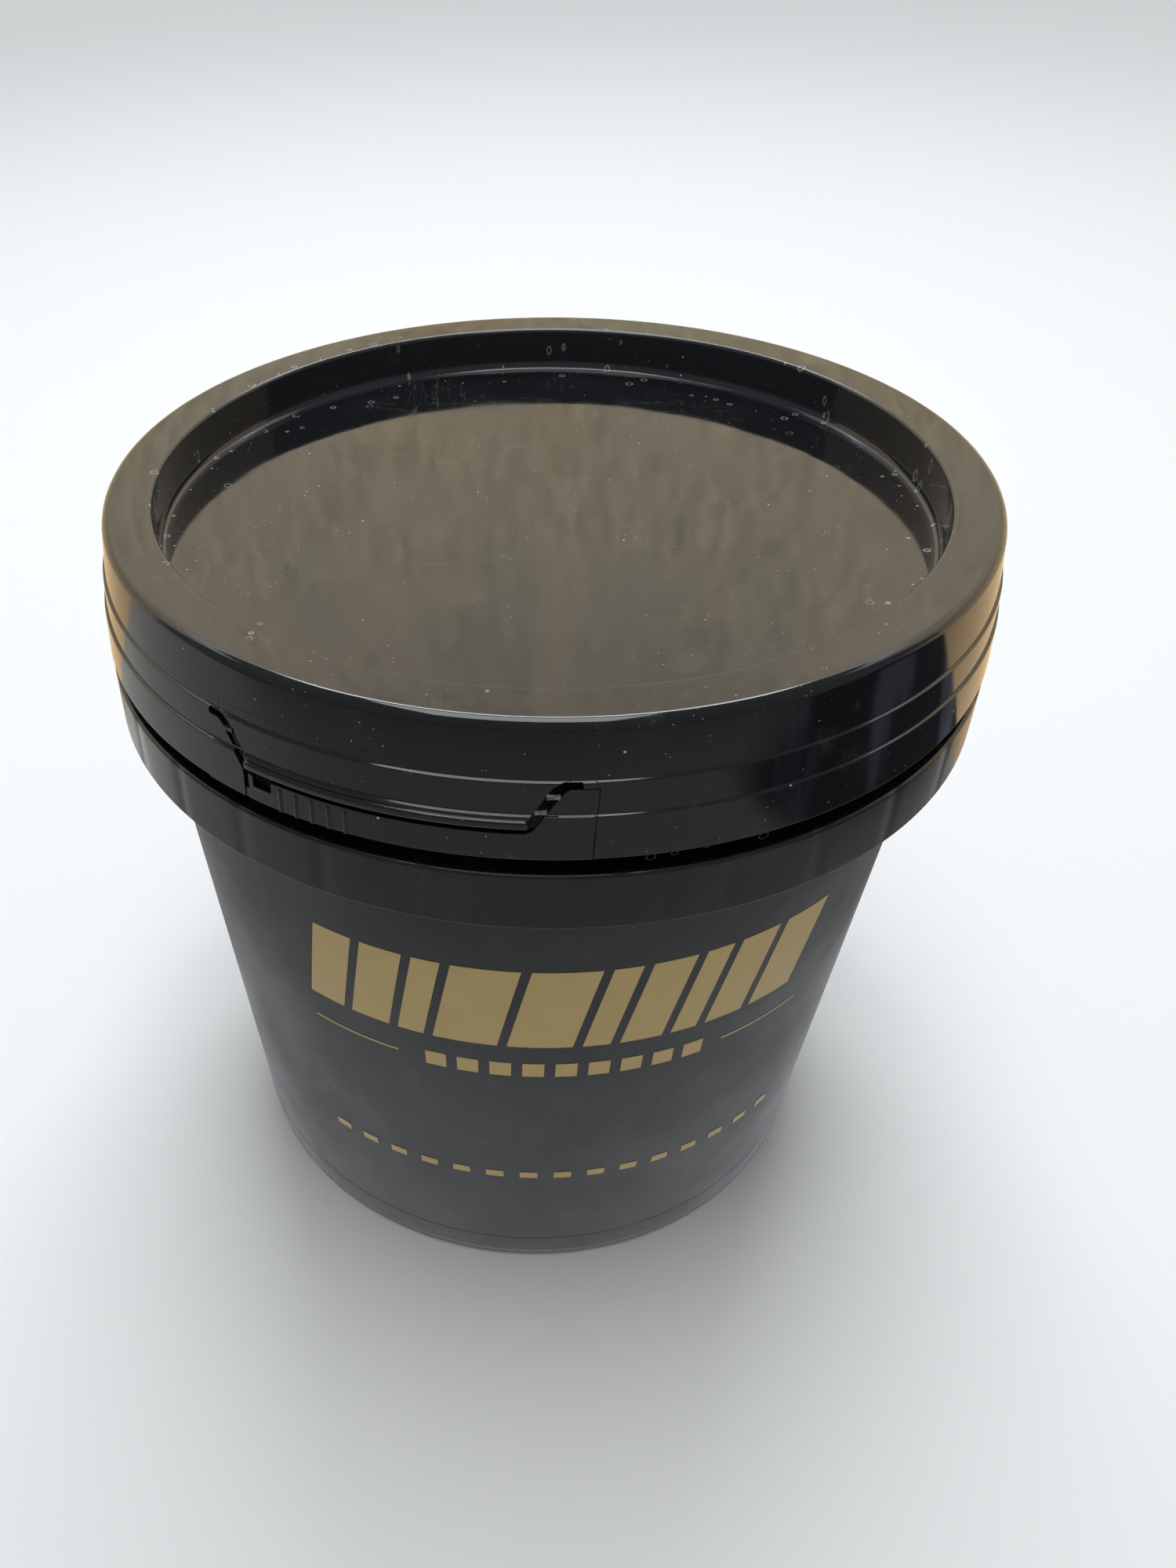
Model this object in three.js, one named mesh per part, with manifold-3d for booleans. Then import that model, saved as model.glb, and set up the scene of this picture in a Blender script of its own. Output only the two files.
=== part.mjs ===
// Wash bucket: a tapered ten-litre pail, a press-on lid with a tamper-evident lifting flap,
// and a wire bail with a roller grip. Millimetres, +Z up, origin on the floor under the pail's axis.
// The front of the pail faces -Y.

import * as THREE from 'three';
import { mergeVertices } from 'three/addons/utils/BufferGeometryUtils.js';
import Module from 'manifold-3d';

const wasm = await Module();
wasm.setup();

// ---- Driving dimensions ----

const FACETS = 72;                 // facets round every large turned shape
const DEG = Math.PI / 180;

const HEIGHT = 254;                // floor to the lid's flat rim
const WALL = 1.6;                  // pail and lid wall
const GAP = 0.3;                   // clearance between neighbouring pieces

const BASE_RADIUS = 110.5;         // pail's outer radius just above the corner
const CORNER_RADIUS = 6.7;         // rounded corner between wall and foot
const COLLAR_RADIUS = 135.3;       // widest point of the collar, at its lower edge
const COLLAR_TOP = 212.1;
const COLLAR_BOTTOM = 194.7;
const WALL_AT_COLLAR = 124.3;      // pail's outer radius at the collar's lower edge
const FOOT_RISE = 3;               // base panel's underside above the floor
const FOOT_WIDTH = 4.5;            // flat ring that the pail stands on
const FOOT_SLOPE = 1.5;            // run of the ring's inner slope up to the base panel
const FLOOR_THICKNESS = 1.8;
const RIM_TOP = 250.6;             // top of the pail's rim bead
const RIM_BEAD_RADIUS = 127.9;
const RIM_BEAD_HEIGHT = 4;
const RIM_ROUND = 1.2;             // rounding of the rim bead and of the collar's upper edge
const NECK_RADIUS = 125.6;         // pail's outer radius on top of the collar
const GUSSETS = 32;
const GUSSET_THICKNESS = 1.2;
const FIRST_GUSSET = -34.6 * DEG;

const CROWN_RADIUS = 130;          // outer radius of the lid's flat rim
const CROWN_ROUND = 2.6;           // rounding of the flat rim's outer edge
const RECESS_RADIUS = 115.7;       // inner radius of the lid's flat rim
const RECESS_ROUND = 0.9;
const PANEL_TOP = 240.3;           // upper face of the sunk panel
const RIDGE_1 = { z: 238.9, r: 132.65 };
const RIDGE_2 = { z: 229.9, r: 134.0 };
const LEDGE = 0.6;                 // step outward at each ridge
const SKIRT_BOTTOM = { z: 217.5, r: 134.9 };
const PLUG_RADIUS = 123.2;         // ring inside the pail's mouth
const PLUG_BOTTOM = 244.4;
const PLUG_WALL = 1.3;
const SEAL_THICKNESS = 1.2;

const TAB_ANGLE = -16.5 * DEG;     // centre of the tamper-evident zone, left of the front
const FLAP_HALF_TOP = 42.4;        // flap's half width under its rounded upper corners
const FLAP_HALF_BOTTOM = 37.4;
const FLAP_TOP = 239.9;
const FLAP_BOTTOM = 226.8;
const HINGE_WEB = 0.6;             // slit that stands for the flap's thin hinge web
const SLOT_WIDTH = 3.3;            // across a slot, measured level
const SLOT_END = 48.7;             // half distance between the slots' outer ends
const SHOULDER_DROP = 1.2;         // curl to the flap's straight side edge
const CURL_TOP = 239.0;
const CURL_BOTTOM = 237.1;
const STRAP_TOP = 225.1;
const STRAP_LEFT = -36.6;
const SLIT_LEFT = -38.2;
const SEAM = 52.4;                 // tear line at the strap's right-hand end
const LIP = { bottom: 226.8, top: 229.4, radius: 135.4 };
const WINDOW = { left: -35.2, right: -29.4, bottom: 221.9 };
const RIB = { count: 5, first: -26.6, pitch: 4.7, radius: 0.85, top: 224.2 };
const TIE = { depth: 0.8, height: 1.5, upper: 235.0, lower: 230.6, startHeight: 2.6, startZ: 219.3 };
const TIE_CLEARANCE = 0.8;         // each end of a slot's tie to the edge beside it

const BAIL_PIVOT = 203;            // height of the bail's pivot axis
const WIRE_RADIUS = 2;
const LEG_X = 138.5;               // centre of each bail leg from the pail's axis
const LEG_LENGTH = 20;             // straight part of a leg
const BAIL_REACH = 190;            // pivot axis to the grip's axis
const PIN_END = 127.6;             // inner end of each turned-in wire end
const EAR = { radius: 6.5, face: 136, bore: 2.3, bottom: 126.9 };
const GRIP = { length: 90, bore: 2.3, waist: 6.3, flange: 7.8, waves: 4, wave: 0.5, chamfer: 1 };
const GRIP_CLEARANCE = 0.6;        // grip to pail wall when the bail hangs

// ---- Materials ----

function plastic(colour, roughness) {
  return new THREE.MeshStandardMaterial({ color: colour, roughness, metalness: 0 });
}

const PAIL_PLASTIC = 0x2a2c30;
const LID_PLASTIC = 0x17181b;

// ---- Helpers ----

// Turns a closed three.js geometry into a manifold solid.
function solid(geometry) {
  const bare = geometry.clone();
  bare.deleteAttribute('normal');
  bare.deleteAttribute('uv');
  const merged = mergeVertices(bare, 1e-4);
  const index = merged.index.array;
  const triangles = [];
  for (let i = 0; i < index.length; i += 3) {
    const [a, b, c] = [index[i], index[i + 1], index[i + 2]];
    if (a !== b && b !== c && c !== a) triangles.push(a, b, c);
  }
  return new wasm.Manifold(new wasm.Mesh({
    numProp: 3,
    vertProperties: new Float32Array(merged.attributes.position.array),
    triVerts: new Uint32Array(triangles),
  }));
}

// Turns a manifold solid back into a three.js mesh.
function meshOf(name, body, material) {
  const result = body.getMesh();
  const geometry = new THREE.BufferGeometry();
  geometry.setAttribute('position', new THREE.BufferAttribute(new Float32Array(result.vertProperties), 3));
  geometry.setIndex(new THREE.BufferAttribute(new Uint32Array(result.triVerts), 1));
  geometry.computeVertexNormals();
  const mesh = new THREE.Mesh(geometry, material);
  mesh.name = name;
  return mesh;
}

// A solid turned about Z from an outline of [radius, height] points, counter-clockwise.
function turned(outline, facets = FACETS) {
  const points = outline.map(([r, z]) => new THREE.Vector2(r, z));
  if (outline[0][0] > 0) points.push(points[0].clone());
  const geometry = new THREE.LatheGeometry(points, facets);
  geometry.rotateX(Math.PI / 2);
  return solid(geometry);
}

// Points along a quarter-round or shorter arc in an outline.
function arc(centreR, centreZ, radius, fromDeg, toDeg, steps) {
  const points = [];
  for (let i = 0; i <= steps; i += 1) {
    const angle = (fromDeg + ((toDeg - fromDeg) * i) / steps) * DEG;
    points.push([centreR + radius * Math.cos(angle), centreZ + radius * Math.sin(angle)]);
  }
  return points;
}

// A prism through the skirt alone, from an outline drawn on the tab's own plane.
function tabPrism(shape) {
  const start = RECESS_RADIUS + WALL + 1.2;
  const geometry = new THREE.ExtrudeGeometry(shape, { depth: 30, bevelEnabled: false });
  geometry.rotateX(Math.PI / 2);
  geometry.translate(0, -start, 0);
  geometry.rotateZ(TAB_ANGLE);
  return solid(geometry);
}

function shapeOf(points) {
  return new THREE.Shape(points.map(([x, z]) => new THREE.Vector2(x, z)));
}

function rectangle(left, right, bottom, top) {
  return shapeOf([[left, bottom], [right, bottom], [right, top], [left, top]]);
}

// Distance from the pail's axis to the skirt's surface of radius r, at x on the tab's plane.
function depthAt(r, x) {
  return Math.sqrt(r * r - x * x);
}

// ---- Pail ----

const TAPER = (WALL_AT_COLLAR - BASE_RADIUS) / (COLLAR_BOTTOM - CORNER_RADIUS);

function wallRadius(z) {
  return BASE_RADIUS + TAPER * (z - CORNER_RADIUS);
}

function pailOutline() {
  const under = COLLAR_TOP - WALL;
  const footFlat = BASE_RADIUS - CORNER_RADIUS;
  const floor = FOOT_RISE + FLOOR_THICKNESS;
  const cornerIn = CORNER_RADIUS - WALL;
  return [
    [0, FOOT_RISE],
    [footFlat - FOOT_WIDTH - FOOT_SLOPE, FOOT_RISE],
    [footFlat - FOOT_WIDTH, 0],
    ...arc(footFlat, CORNER_RADIUS, CORNER_RADIUS, -90, 0, 4),
    [wallRadius(under), under],
    [COLLAR_RADIUS - WALL - 0.4, under],
    [COLLAR_RADIUS - WALL, COLLAR_BOTTOM],
    [COLLAR_RADIUS, COLLAR_BOTTOM],
    [COLLAR_RADIUS - 0.4, COLLAR_TOP - RIM_ROUND],
    [COLLAR_RADIUS - RIM_ROUND, COLLAR_TOP],
    [NECK_RADIUS, COLLAR_TOP],
    [NECK_RADIUS + 0.4, RIM_TOP - 1.5 * RIM_BEAD_HEIGHT],
    [RIM_BEAD_RADIUS, RIM_TOP - RIM_BEAD_HEIGHT],
    [RIM_BEAD_RADIUS, RIM_TOP - RIM_ROUND],
    [RIM_BEAD_RADIUS - RIM_ROUND, RIM_TOP],
    [PLUG_RADIUS + RIM_ROUND, RIM_TOP],
    [PLUG_RADIUS + 0.5, RIM_TOP - 1],
    [NECK_RADIUS - WALL, COLLAR_TOP],
    [wallRadius(CORNER_RADIUS) - WALL, floor + cornerIn],
    [wallRadius(CORNER_RADIUS) - WALL - 0.3 * cornerIn, floor + 0.3 * cornerIn],
    [wallRadius(CORNER_RADIUS) - WALL - cornerIn, floor],
    [0, floor],
  ];
}

// One gusset behind the collar, from the wall to the collar's skirt, under its top web.
function gusset(angle) {
  const inner = wallRadius(BAIL_PIVOT) - 0.6;
  const outer = COLLAR_RADIUS - WALL + 0.6;
  const top = COLLAR_TOP - WALL + 0.5;
  const bottom = COLLAR_BOTTOM + 1.5;
  const plate = new THREE.BoxGeometry(outer - inner, GUSSET_THICKNESS, top - bottom);
  plate.translate((outer + inner) / 2, 0, (top + bottom) / 2);
  plate.rotateZ(angle - Math.PI / 2);
  return solid(plate);
}

// A cylinder along X on the bail's pivot axis, on the side that sign gives.
function pivotCylinder(radius, from, to, sign, sides) {
  const rod = new THREE.CylinderGeometry(radius, radius, to - from, sides);
  rod.rotateZ(Math.PI / 2);
  rod.translate((sign * (from + to)) / 2, 0, BAIL_PIVOT);
  return solid(rod);
}

function pailBody() {
  let body = turned(pailOutline());
  for (let i = 0; i < GUSSETS; i += 1) {
    body = body.add(gusset(FIRST_GUSSET + (i * 2 * Math.PI) / GUSSETS));
  }
  for (const side of [-1, 1]) {
    body = body.add(pivotCylinder(EAR.radius, wallRadius(BAIL_PIVOT) - 0.8, EAR.face, side, 24));
    body = body.subtract(pivotCylinder(EAR.bore, EAR.bottom, EAR.face + 5, side, 16));
  }
  return meshOf('pail_body', body, plastic(PAIL_PLASTIC, 0.5));
}

// ---- Lid ----

// The skirt's outer face from the crown down to its lower edge, top point first.
function skirtFace() {
  return [
    [CROWN_RADIUS + 0.2, HEIGHT - CROWN_ROUND],
    [RIDGE_1.r - LEDGE, RIDGE_1.z + 0.4],
    [RIDGE_1.r, RIDGE_1.z],
    [RIDGE_2.r - LEDGE, RIDGE_2.z + 0.4],
    [RIDGE_2.r, RIDGE_2.z],
    [SKIRT_BOTTOM.r, SKIRT_BOTTOM.z],
  ];
}

function skirtInnerFace() {
  return [
    [SKIRT_BOTTOM.r - WALL, SKIRT_BOTTOM.z],
    [RIDGE_2.r - WALL, RIDGE_2.z],
    [RIDGE_1.r - WALL, RIDGE_1.z],
    [CROWN_RADIUS - WALL, HEIGHT - WALL],
  ];
}

function lidOutline() {
  const ceiling = HEIGHT - WALL;
  const recessOut = RECESS_RADIUS + WALL;
  const face = [
    [0, PANEL_TOP],
    [RECESS_RADIUS - 1.4, PANEL_TOP],
    [RECESS_RADIUS - 0.2, PANEL_TOP + 1],
    [RECESS_RADIUS, HEIGHT - RECESS_ROUND],
    [RECESS_RADIUS + RECESS_ROUND, HEIGHT],
    [CROWN_RADIUS - CROWN_ROUND, HEIGHT],
    [CROWN_RADIUS - CROWN_ROUND / 3, HEIGHT - CROWN_ROUND / 3],
    ...skirtFace(),
  ];
  const back = [
    ...skirtInnerFace(),
    [PLUG_RADIUS, ceiling],
    [PLUG_RADIUS, PLUG_BOTTOM],
    [PLUG_RADIUS - PLUG_WALL, PLUG_BOTTOM],
    [PLUG_RADIUS - PLUG_WALL, ceiling],
    [recessOut, ceiling],
    [recessOut, PANEL_TOP - WALL],
    [0, PANEL_TOP - WALL],
  ];
  return [...face, ...back].reverse();
}

function skirtRing() {
  return turned([...skirtFace(), ...skirtInnerFace()].reverse());
}

// Half of the slots' outer edge, from the strap's level up round the curl, as [x, z].
function slotOuterEdge() {
  const foot = FLAP_HALF_BOTTOM + SLOT_WIDTH * 0.3;
  const shoulder = FLAP_HALF_TOP + SLOT_WIDTH * 0.6;
  return [
    [foot, STRAP_TOP + 0.7],
    [shoulder, CURL_BOTTOM - SHOULDER_DROP],
    [shoulder + SLOT_WIDTH / 2, CURL_BOTTOM],
  ];
}

function flapShape() {
  return shapeOf([
    [-FLAP_HALF_BOTTOM, FLAP_BOTTOM],
    [FLAP_HALF_BOTTOM, FLAP_BOTTOM],
    [FLAP_HALF_BOTTOM, LIP.top],
    [FLAP_HALF_TOP - 0.3, CURL_TOP - SHOULDER_DROP],
    [FLAP_HALF_TOP + 0.7, CURL_TOP],
    [FLAP_HALF_TOP + 0.7, FLAP_TOP],
    [-FLAP_HALF_TOP - 0.7, FLAP_TOP],
    [-FLAP_HALF_TOP - 0.7, CURL_TOP],
    [-FLAP_HALF_TOP + 0.3, CURL_TOP - SHOULDER_DROP],
    [-FLAP_HALF_BOTTOM, LIP.top],
  ]);
}

// Everything that is open in the lid's skirt: flap, slots, strap and the slits between them.
function openingShape() {
  const below = SKIRT_BOTTOM.z - 2;
  const webTop = FLAP_TOP + HINGE_WEB;
  const [foot, shoulder, curl] = slotOuterEdge();
  return shapeOf([
    [SLIT_LEFT, below],
    [SEAM, below],
    [SEAM, CURL_BOTTOM + GAP],
    [SLOT_END, CURL_BOTTOM + GAP],
    [SLOT_END, CURL_TOP],
    [FLAP_HALF_TOP + 1.4, CURL_TOP],
    [FLAP_HALF_TOP + 1.4, webTop],
    [-FLAP_HALF_TOP - 1.4, webTop],
    [-FLAP_HALF_TOP - 1.4, CURL_TOP],
    [-SLOT_END, CURL_TOP],
    [-SLOT_END, CURL_BOTTOM],
    [-curl[0], curl[1]],
    [-shoulder[0], shoulder[1]],
    [-foot[0], foot[1]],
    [SLIT_LEFT, STRAP_TOP - 1],
  ]);
}

function strapShape() {
  const below = SKIRT_BOTTOM.z - 2;
  const end = SEAM - GAP;
  return shapeOf([
    [STRAP_LEFT, below],
    [end, below],
    [end, CURL_BOTTOM],
    ...slotOuterEdge().reverse(),
    [FLAP_HALF_BOTTOM - 0.6, STRAP_TOP],
    [STRAP_LEFT, STRAP_TOP],
  ]);
}

function lid() {
  const body = turned(lidOutline()).subtract(tabPrism(openingShape()));
  return meshOf('lid', body, plastic(LID_PLASTIC, 0.18));
}

function lidSeal() {
  const top = HEIGHT - WALL - GAP;
  const inner = PLUG_RADIUS + 0.4;
  const outer = CROWN_RADIUS - WALL - 0.4;
  const ring = turned([
    [inner, top - SEAL_THICKNESS],
    [outer, top - SEAL_THICKNESS],
    [outer, top],
    [inner, top],
  ]);
  return meshOf('lid_seal', ring, plastic(0x3a3a3a, 0.8));
}

// ---- Flap, strap and ties ----

function liftingFlap() {
  const panel = skirtRing().intersect(tabPrism(flapShape()));
  const mid = (LIP.top + LIP.bottom) / 2;
  const lipRing = turned([
    [RIDGE_2.r - WALL + 0.2, LIP.bottom],
    [LIP.radius - 0.5, LIP.bottom],
    [LIP.radius, mid - 0.6],
    [LIP.radius, mid + 0.4],
    [LIP.radius - 0.7, LIP.top],
    [RIDGE_2.r - WALL + 0.2, LIP.top],
  ]);
  const width = rectangle(-FLAP_HALF_BOTTOM, FLAP_HALF_BOTTOM, FLAP_BOTTOM, FLAP_TOP);
  const lip = lipRing.intersect(tabPrism(width));
  return meshOf('lifting_flap', panel.add(lip), plastic(LID_PLASTIC, 0.2));
}

// One upright grip rib at x on the tab's plane, leaning with the skirt.
function rib(x) {
  const height = RIB.top - SKIRT_BOTTOM.z;
  const lean = Math.atan((SKIRT_BOTTOM.r - RIDGE_2.r) / (RIDGE_2.z - SKIRT_BOTTOM.z));
  const round = new THREE.CylinderGeometry(RIB.radius, RIB.radius, height, 10);
  round.rotateX(Math.PI / 2);
  round.translate(0, 0, height / 2);
  round.rotateX(-lean);
  round.translate(x, -depthAt(SKIRT_BOTTOM.r - 0.1, x), SKIRT_BOTTOM.z);
  round.rotateZ(TAB_ANGLE);
  return solid(round);
}

function tearStrap() {
  let body = skirtRing().intersect(tabPrism(strapShape()));
  body = body.subtract(tabPrism(rectangle(WINDOW.left, WINDOW.right, WINDOW.bottom, STRAP_TOP + 1)));
  for (let i = 0; i < RIB.count; i += 1) {
    body = body.add(rib(RIB.first + i * RIB.pitch));
  }
  return meshOf('tear_strap', body, plastic(LID_PLASTIC, 0.25));
}

// A small tie across a slot: x of its middle on the tab's plane, its height and its own size.
function tie(name, x, z, width, height) {
  const block = new THREE.BoxGeometry(width, TIE.depth, height);
  const skin = RIDGE_2.r - WALL + TIE.depth / 2 + 0.1;
  block.rotateZ(Math.asin(x / skin));
  block.translate(x, -depthAt(skin, x), z);
  block.rotateZ(TAB_ANGLE);
  return meshOf(name, solid(block), plastic(0x4a4d50, 0.35));
}

// Middle of the slot at height z, to the right of the tab's centre.
function slotMiddle(z) {
  const [foot, shoulder] = slotOuterEdge();
  const outer = foot[0] + ((shoulder[0] - foot[0]) * (z - foot[1])) / (shoulder[1] - foot[1]);
  const flapTopZ = CURL_TOP - SHOULDER_DROP;
  const rise = (z - LIP.top) / (flapTopZ - LIP.top);
  const inner = FLAP_HALF_BOTTOM + (FLAP_HALF_TOP - 0.3 - FLAP_HALF_BOTTOM) * rise;
  return { x: (outer + inner) / 2, width: outer - inner };
}

function slotTies() {
  const ties = [];
  for (const [side, sign] of [['left', -1], ['right', 1]]) {
    for (const [level, z] of [['upper', TIE.upper], ['lower', TIE.lower]]) {
      const { x, width } = slotMiddle(z);
      ties.push(tie(`tie_${side}_${level}`, sign * x, z, width - 2 * TIE_CLEARANCE, TIE.height));
    }
  }
  return ties;
}

function strapStartTie() {
  const x = (SLIT_LEFT + STRAP_LEFT) / 2;
  const width = STRAP_LEFT - SLIT_LEFT - 2 * GAP;
  return tie('tie_strap_start', x, TIE.startZ, width, TIE.startHeight);
}

// ---- Bail ----

// Angle between the hanging bail and straight down, where the grip rests against the back wall.
function hangAngle() {
  let angle = 40 * DEG;
  for (let i = 0; i < 20; i += 1) {
    const gripZ = BAIL_PIVOT - BAIL_REACH * Math.cos(angle);
    angle = Math.asin((wallRadius(gripZ) + GRIP.flange + GRIP_CLEARANCE) / BAIL_REACH);
  }
  return angle;
}

// The bail's centre line in its own plane, from one elbow round to the other.
function bailPath() {
  const at = (x, d) => new THREE.Vector3(x, -d, 0);
  const path = new THREE.CurvePath();
  const half = GRIP.length / 2 + 6;
  const shoulder = LEG_LENGTH + 95;
  const swell = LEG_X - 26;
  path.add(new THREE.LineCurve3(at(-LEG_X, 0), at(-LEG_X, LEG_LENGTH)));
  path.add(new THREE.CubicBezierCurve3(
    at(-LEG_X, LEG_LENGTH), at(-LEG_X, shoulder), at(-swell, BAIL_REACH), at(-half, BAIL_REACH),
  ));
  path.add(new THREE.LineCurve3(at(-half, BAIL_REACH), at(half, BAIL_REACH)));
  path.add(new THREE.CubicBezierCurve3(
    at(half, BAIL_REACH), at(swell, BAIL_REACH), at(LEG_X, shoulder), at(LEG_X, LEG_LENGTH),
  ));
  path.add(new THREE.LineCurve3(at(LEG_X, LEG_LENGTH), at(LEG_X, 0)));
  return path;
}

function bailWire() {
  const section = new THREE.Shape();
  section.absarc(0, 0, WIRE_RADIUS, 0, 2 * Math.PI, false);
  const arch = new THREE.ExtrudeGeometry(section, {
    steps: 48, curveSegments: 5, bevelEnabled: false, extrudePath: bailPath(),
  });
  let wire = solid(arch);
  for (const side of [-1, 1]) {
    const pin = new THREE.CylinderGeometry(WIRE_RADIUS, WIRE_RADIUS, LEG_X - PIN_END, 12);
    pin.rotateZ(Math.PI / 2);
    pin.translate((side * (LEG_X + PIN_END)) / 2, 0, 0);
    const elbow = new THREE.SphereGeometry(WIRE_RADIUS, 12, 8);
    elbow.translate(side * LEG_X, 0, 0);
    wire = wire.add(solid(pin)).add(solid(elbow));
  }
  const steel = new THREE.MeshStandardMaterial({ color: 0xb4b6b8, roughness: 0.3, metalness: 1 });
  return meshOf('bail_wire', wire, steel);
}

// The grip: a tube with soft finger waves and a flange at each end, turned about the wire.
function bailGrip() {
  const half = GRIP.length / 2;
  const waveEnd = half - 6;
  const outline = [
    [GRIP.bore, -half],
    [GRIP.flange - GRIP.chamfer, -half],
    [GRIP.flange, -half + GRIP.chamfer],
    [GRIP.flange, -half + 3],
  ];
  const steps = GRIP.waves * 4;
  for (let i = 0; i <= steps; i += 1) {
    const along = -waveEnd + (2 * waveEnd * i) / steps;
    outline.push([GRIP.waist - GRIP.wave * Math.cos((i * 2 * Math.PI) / 4), along]);
  }
  outline.push(
    [GRIP.flange, half - 3],
    [GRIP.flange, half - GRIP.chamfer],
    [GRIP.flange - GRIP.chamfer, half],
    [GRIP.bore, half],
  );
  const grip = meshOf('bail_grip', turned(outline, 16), plastic(0x1c1d20, 0.45));
  grip.rotation.y = Math.PI / 2;
  grip.position.y = -BAIL_REACH;
  return grip;
}

function bail() {
  const group = new THREE.Group();
  group.add(bailWire(), bailGrip());
  group.rotation.x = Math.PI / 2 + hangAngle();
  group.position.z = BAIL_PIVOT;
  return group;
}

// ---- Assembly ----

const bucket = new THREE.Group();
bucket.add(
  pailBody(),
  lid(),
  lidSeal(),
  liftingFlap(),
  tearStrap(),
  ...slotTies(),
  strapStartTie(),
  bail(),
);

export default bucket;
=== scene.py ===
"""Looks of the wash bucket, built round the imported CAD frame. Metres, +Z up, printed front towards -Y."""
import math

import bpy
import bmesh
import numpy as np
from mathutils import Matrix, Vector


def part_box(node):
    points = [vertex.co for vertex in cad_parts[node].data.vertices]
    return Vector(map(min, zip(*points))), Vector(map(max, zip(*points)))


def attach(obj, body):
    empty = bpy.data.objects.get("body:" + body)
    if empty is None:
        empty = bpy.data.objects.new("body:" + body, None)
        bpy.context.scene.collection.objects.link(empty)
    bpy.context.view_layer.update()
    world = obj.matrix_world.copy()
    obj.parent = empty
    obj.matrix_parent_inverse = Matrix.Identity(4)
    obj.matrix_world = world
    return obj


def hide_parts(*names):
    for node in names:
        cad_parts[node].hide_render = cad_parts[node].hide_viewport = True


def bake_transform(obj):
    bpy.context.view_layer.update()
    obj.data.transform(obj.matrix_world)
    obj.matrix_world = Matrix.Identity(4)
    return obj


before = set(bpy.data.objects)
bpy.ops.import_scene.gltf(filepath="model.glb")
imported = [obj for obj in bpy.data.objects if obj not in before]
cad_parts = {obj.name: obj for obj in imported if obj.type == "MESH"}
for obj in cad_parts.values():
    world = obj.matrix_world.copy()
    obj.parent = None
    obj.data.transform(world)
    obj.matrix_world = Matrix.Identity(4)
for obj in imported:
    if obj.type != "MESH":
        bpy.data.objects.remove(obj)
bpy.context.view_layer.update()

MM = 0.001

# ---- Sizes in millimetres, taken from the frame where it has them ----

lid_low, lid_high = (v / MM for v in map(Vector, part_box("lid")))
_, pail_high = (v / MM for v in map(Vector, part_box("pail_body")))
flap_low, flap_high = (v / MM for v in map(Vector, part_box("lifting_flap")))
grip_low, grip_high = (v / MM for v in map(Vector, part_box("bail_grip")))
seal_low, seal_high = (v / MM for v in map(Vector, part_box("lid_seal")))

TOP = lid_high.z                      # flat rim of the lid
SKIRT_Z = lid_low.z                   # lower edge of the lid's skirt
SKIRT_R = lid_high.x
RIM_Z = pail_high.z                   # pail's rim under the lid
COLLAR_R = pail_high.y
WALL = 1.6
CROWN_R = SKIRT_R - 4.9
RECESS_R = CROWN_R - 14.3
PANEL_Z = TOP - 13.7
RIDGE_1_Z, RIDGE_1_R = TOP - 15.1, CROWN_R + 2.65
RIDGE_2_Z, RIDGE_2_R = TOP - 24.1, CROWN_R + 4.0
LEDGE = 0.62                          # step under each of the skirt's ridges
COLLAR_TOP, COLLAR_BOTTOM = TOP - 41.9, TOP - 59.3
BASE_R, CORNER_R = 110.5, 6.7
WALL_AT_COLLAR = 124.3                # wall's radius at the collar's lower edge
NECK_R = 125.6                        # wall's radius above the collar
PLUG_R = 123.2
SEAL_WIDTH = 4.3
GUSSETS = 32
FIRST_GUSSET = math.radians(-34.6)

TAB_ANGLE = math.radians(-16.5)
FLAP_TOP, FLAP_BOTTOM = flap_high.z, flap_low.z
LIP_TOP = FLAP_BOTTOM + 2.6
FLAP_HALF_TOP, FLAP_HALF_BOTTOM = 42.4, 37.4
WEB_TOP = FLAP_TOP + 1.9              # where the flap's thin hinge web leaves the skirt
CURL_TOP, CURL_BOTTOM = 239.0, 237.1
SLOT_END = 48.7
BELOW_SKIRT = SKIRT_Z - 2             # where the cutters start
WEB_HALF = FLAP_HALF_TOP + 3.2        # half width of the hinge web's opening
WEB_GAP, SEAM_GAP = 0.05, 0.15
STRAP_TOP = 225.1
STRAP_LEFT, SLIT_LEFT, SEAM = -36.6, -38.2, 52.4
WINDOW = (-35.2, -29.4, 221.9, 225.6)  # left, right, bottom, top
PLUG_Z = TOP - 9.6
RIM_BEAD_R = 127.9
CHIME_Z = 13.2                        # faint step in the wall just above the foot
INSERT_LEFT, INSERT_RIGHT = math.radians(-38.7), math.radians(6.35)
INSERT_PROUD = 0.26                   # how far the mould insert's zone stands out
LIP_PROUD = 1.4
FRAME_PROUD = 0.3
RIB_TOP, RIB_FIRST, RIB_PITCH = 224.6, -26.6, 4.7
TIE_UPPER_Z, TIE_LOWER_Z = 235.2, 230.6
PIVOT_Z = 203.0
WIRE_R = 2.0
LEG_X = 138.5
PIN_END = 127.8
grip_axis = (grip_low + grip_high) / 2
grip_half = (grip_high.x - grip_low.x) / 2

COLUMNS = 288                         # steps round a turned part
FULL_TURN = 2 * math.pi
AROUND_R = 130.0                      # where materials measure distance round the object
FLOOR_R = 12000
BACKDROP_R = FLOOR_R - 100
WALL_CARD_R, WALL_CARD_Z = 2600, (5, 3000)


# ---- Mesh helpers ----

def add_object(name, data):
    obj = bpy.data.objects.new(name, data)
    bpy.context.collection.objects.link(obj)
    return obj


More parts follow.
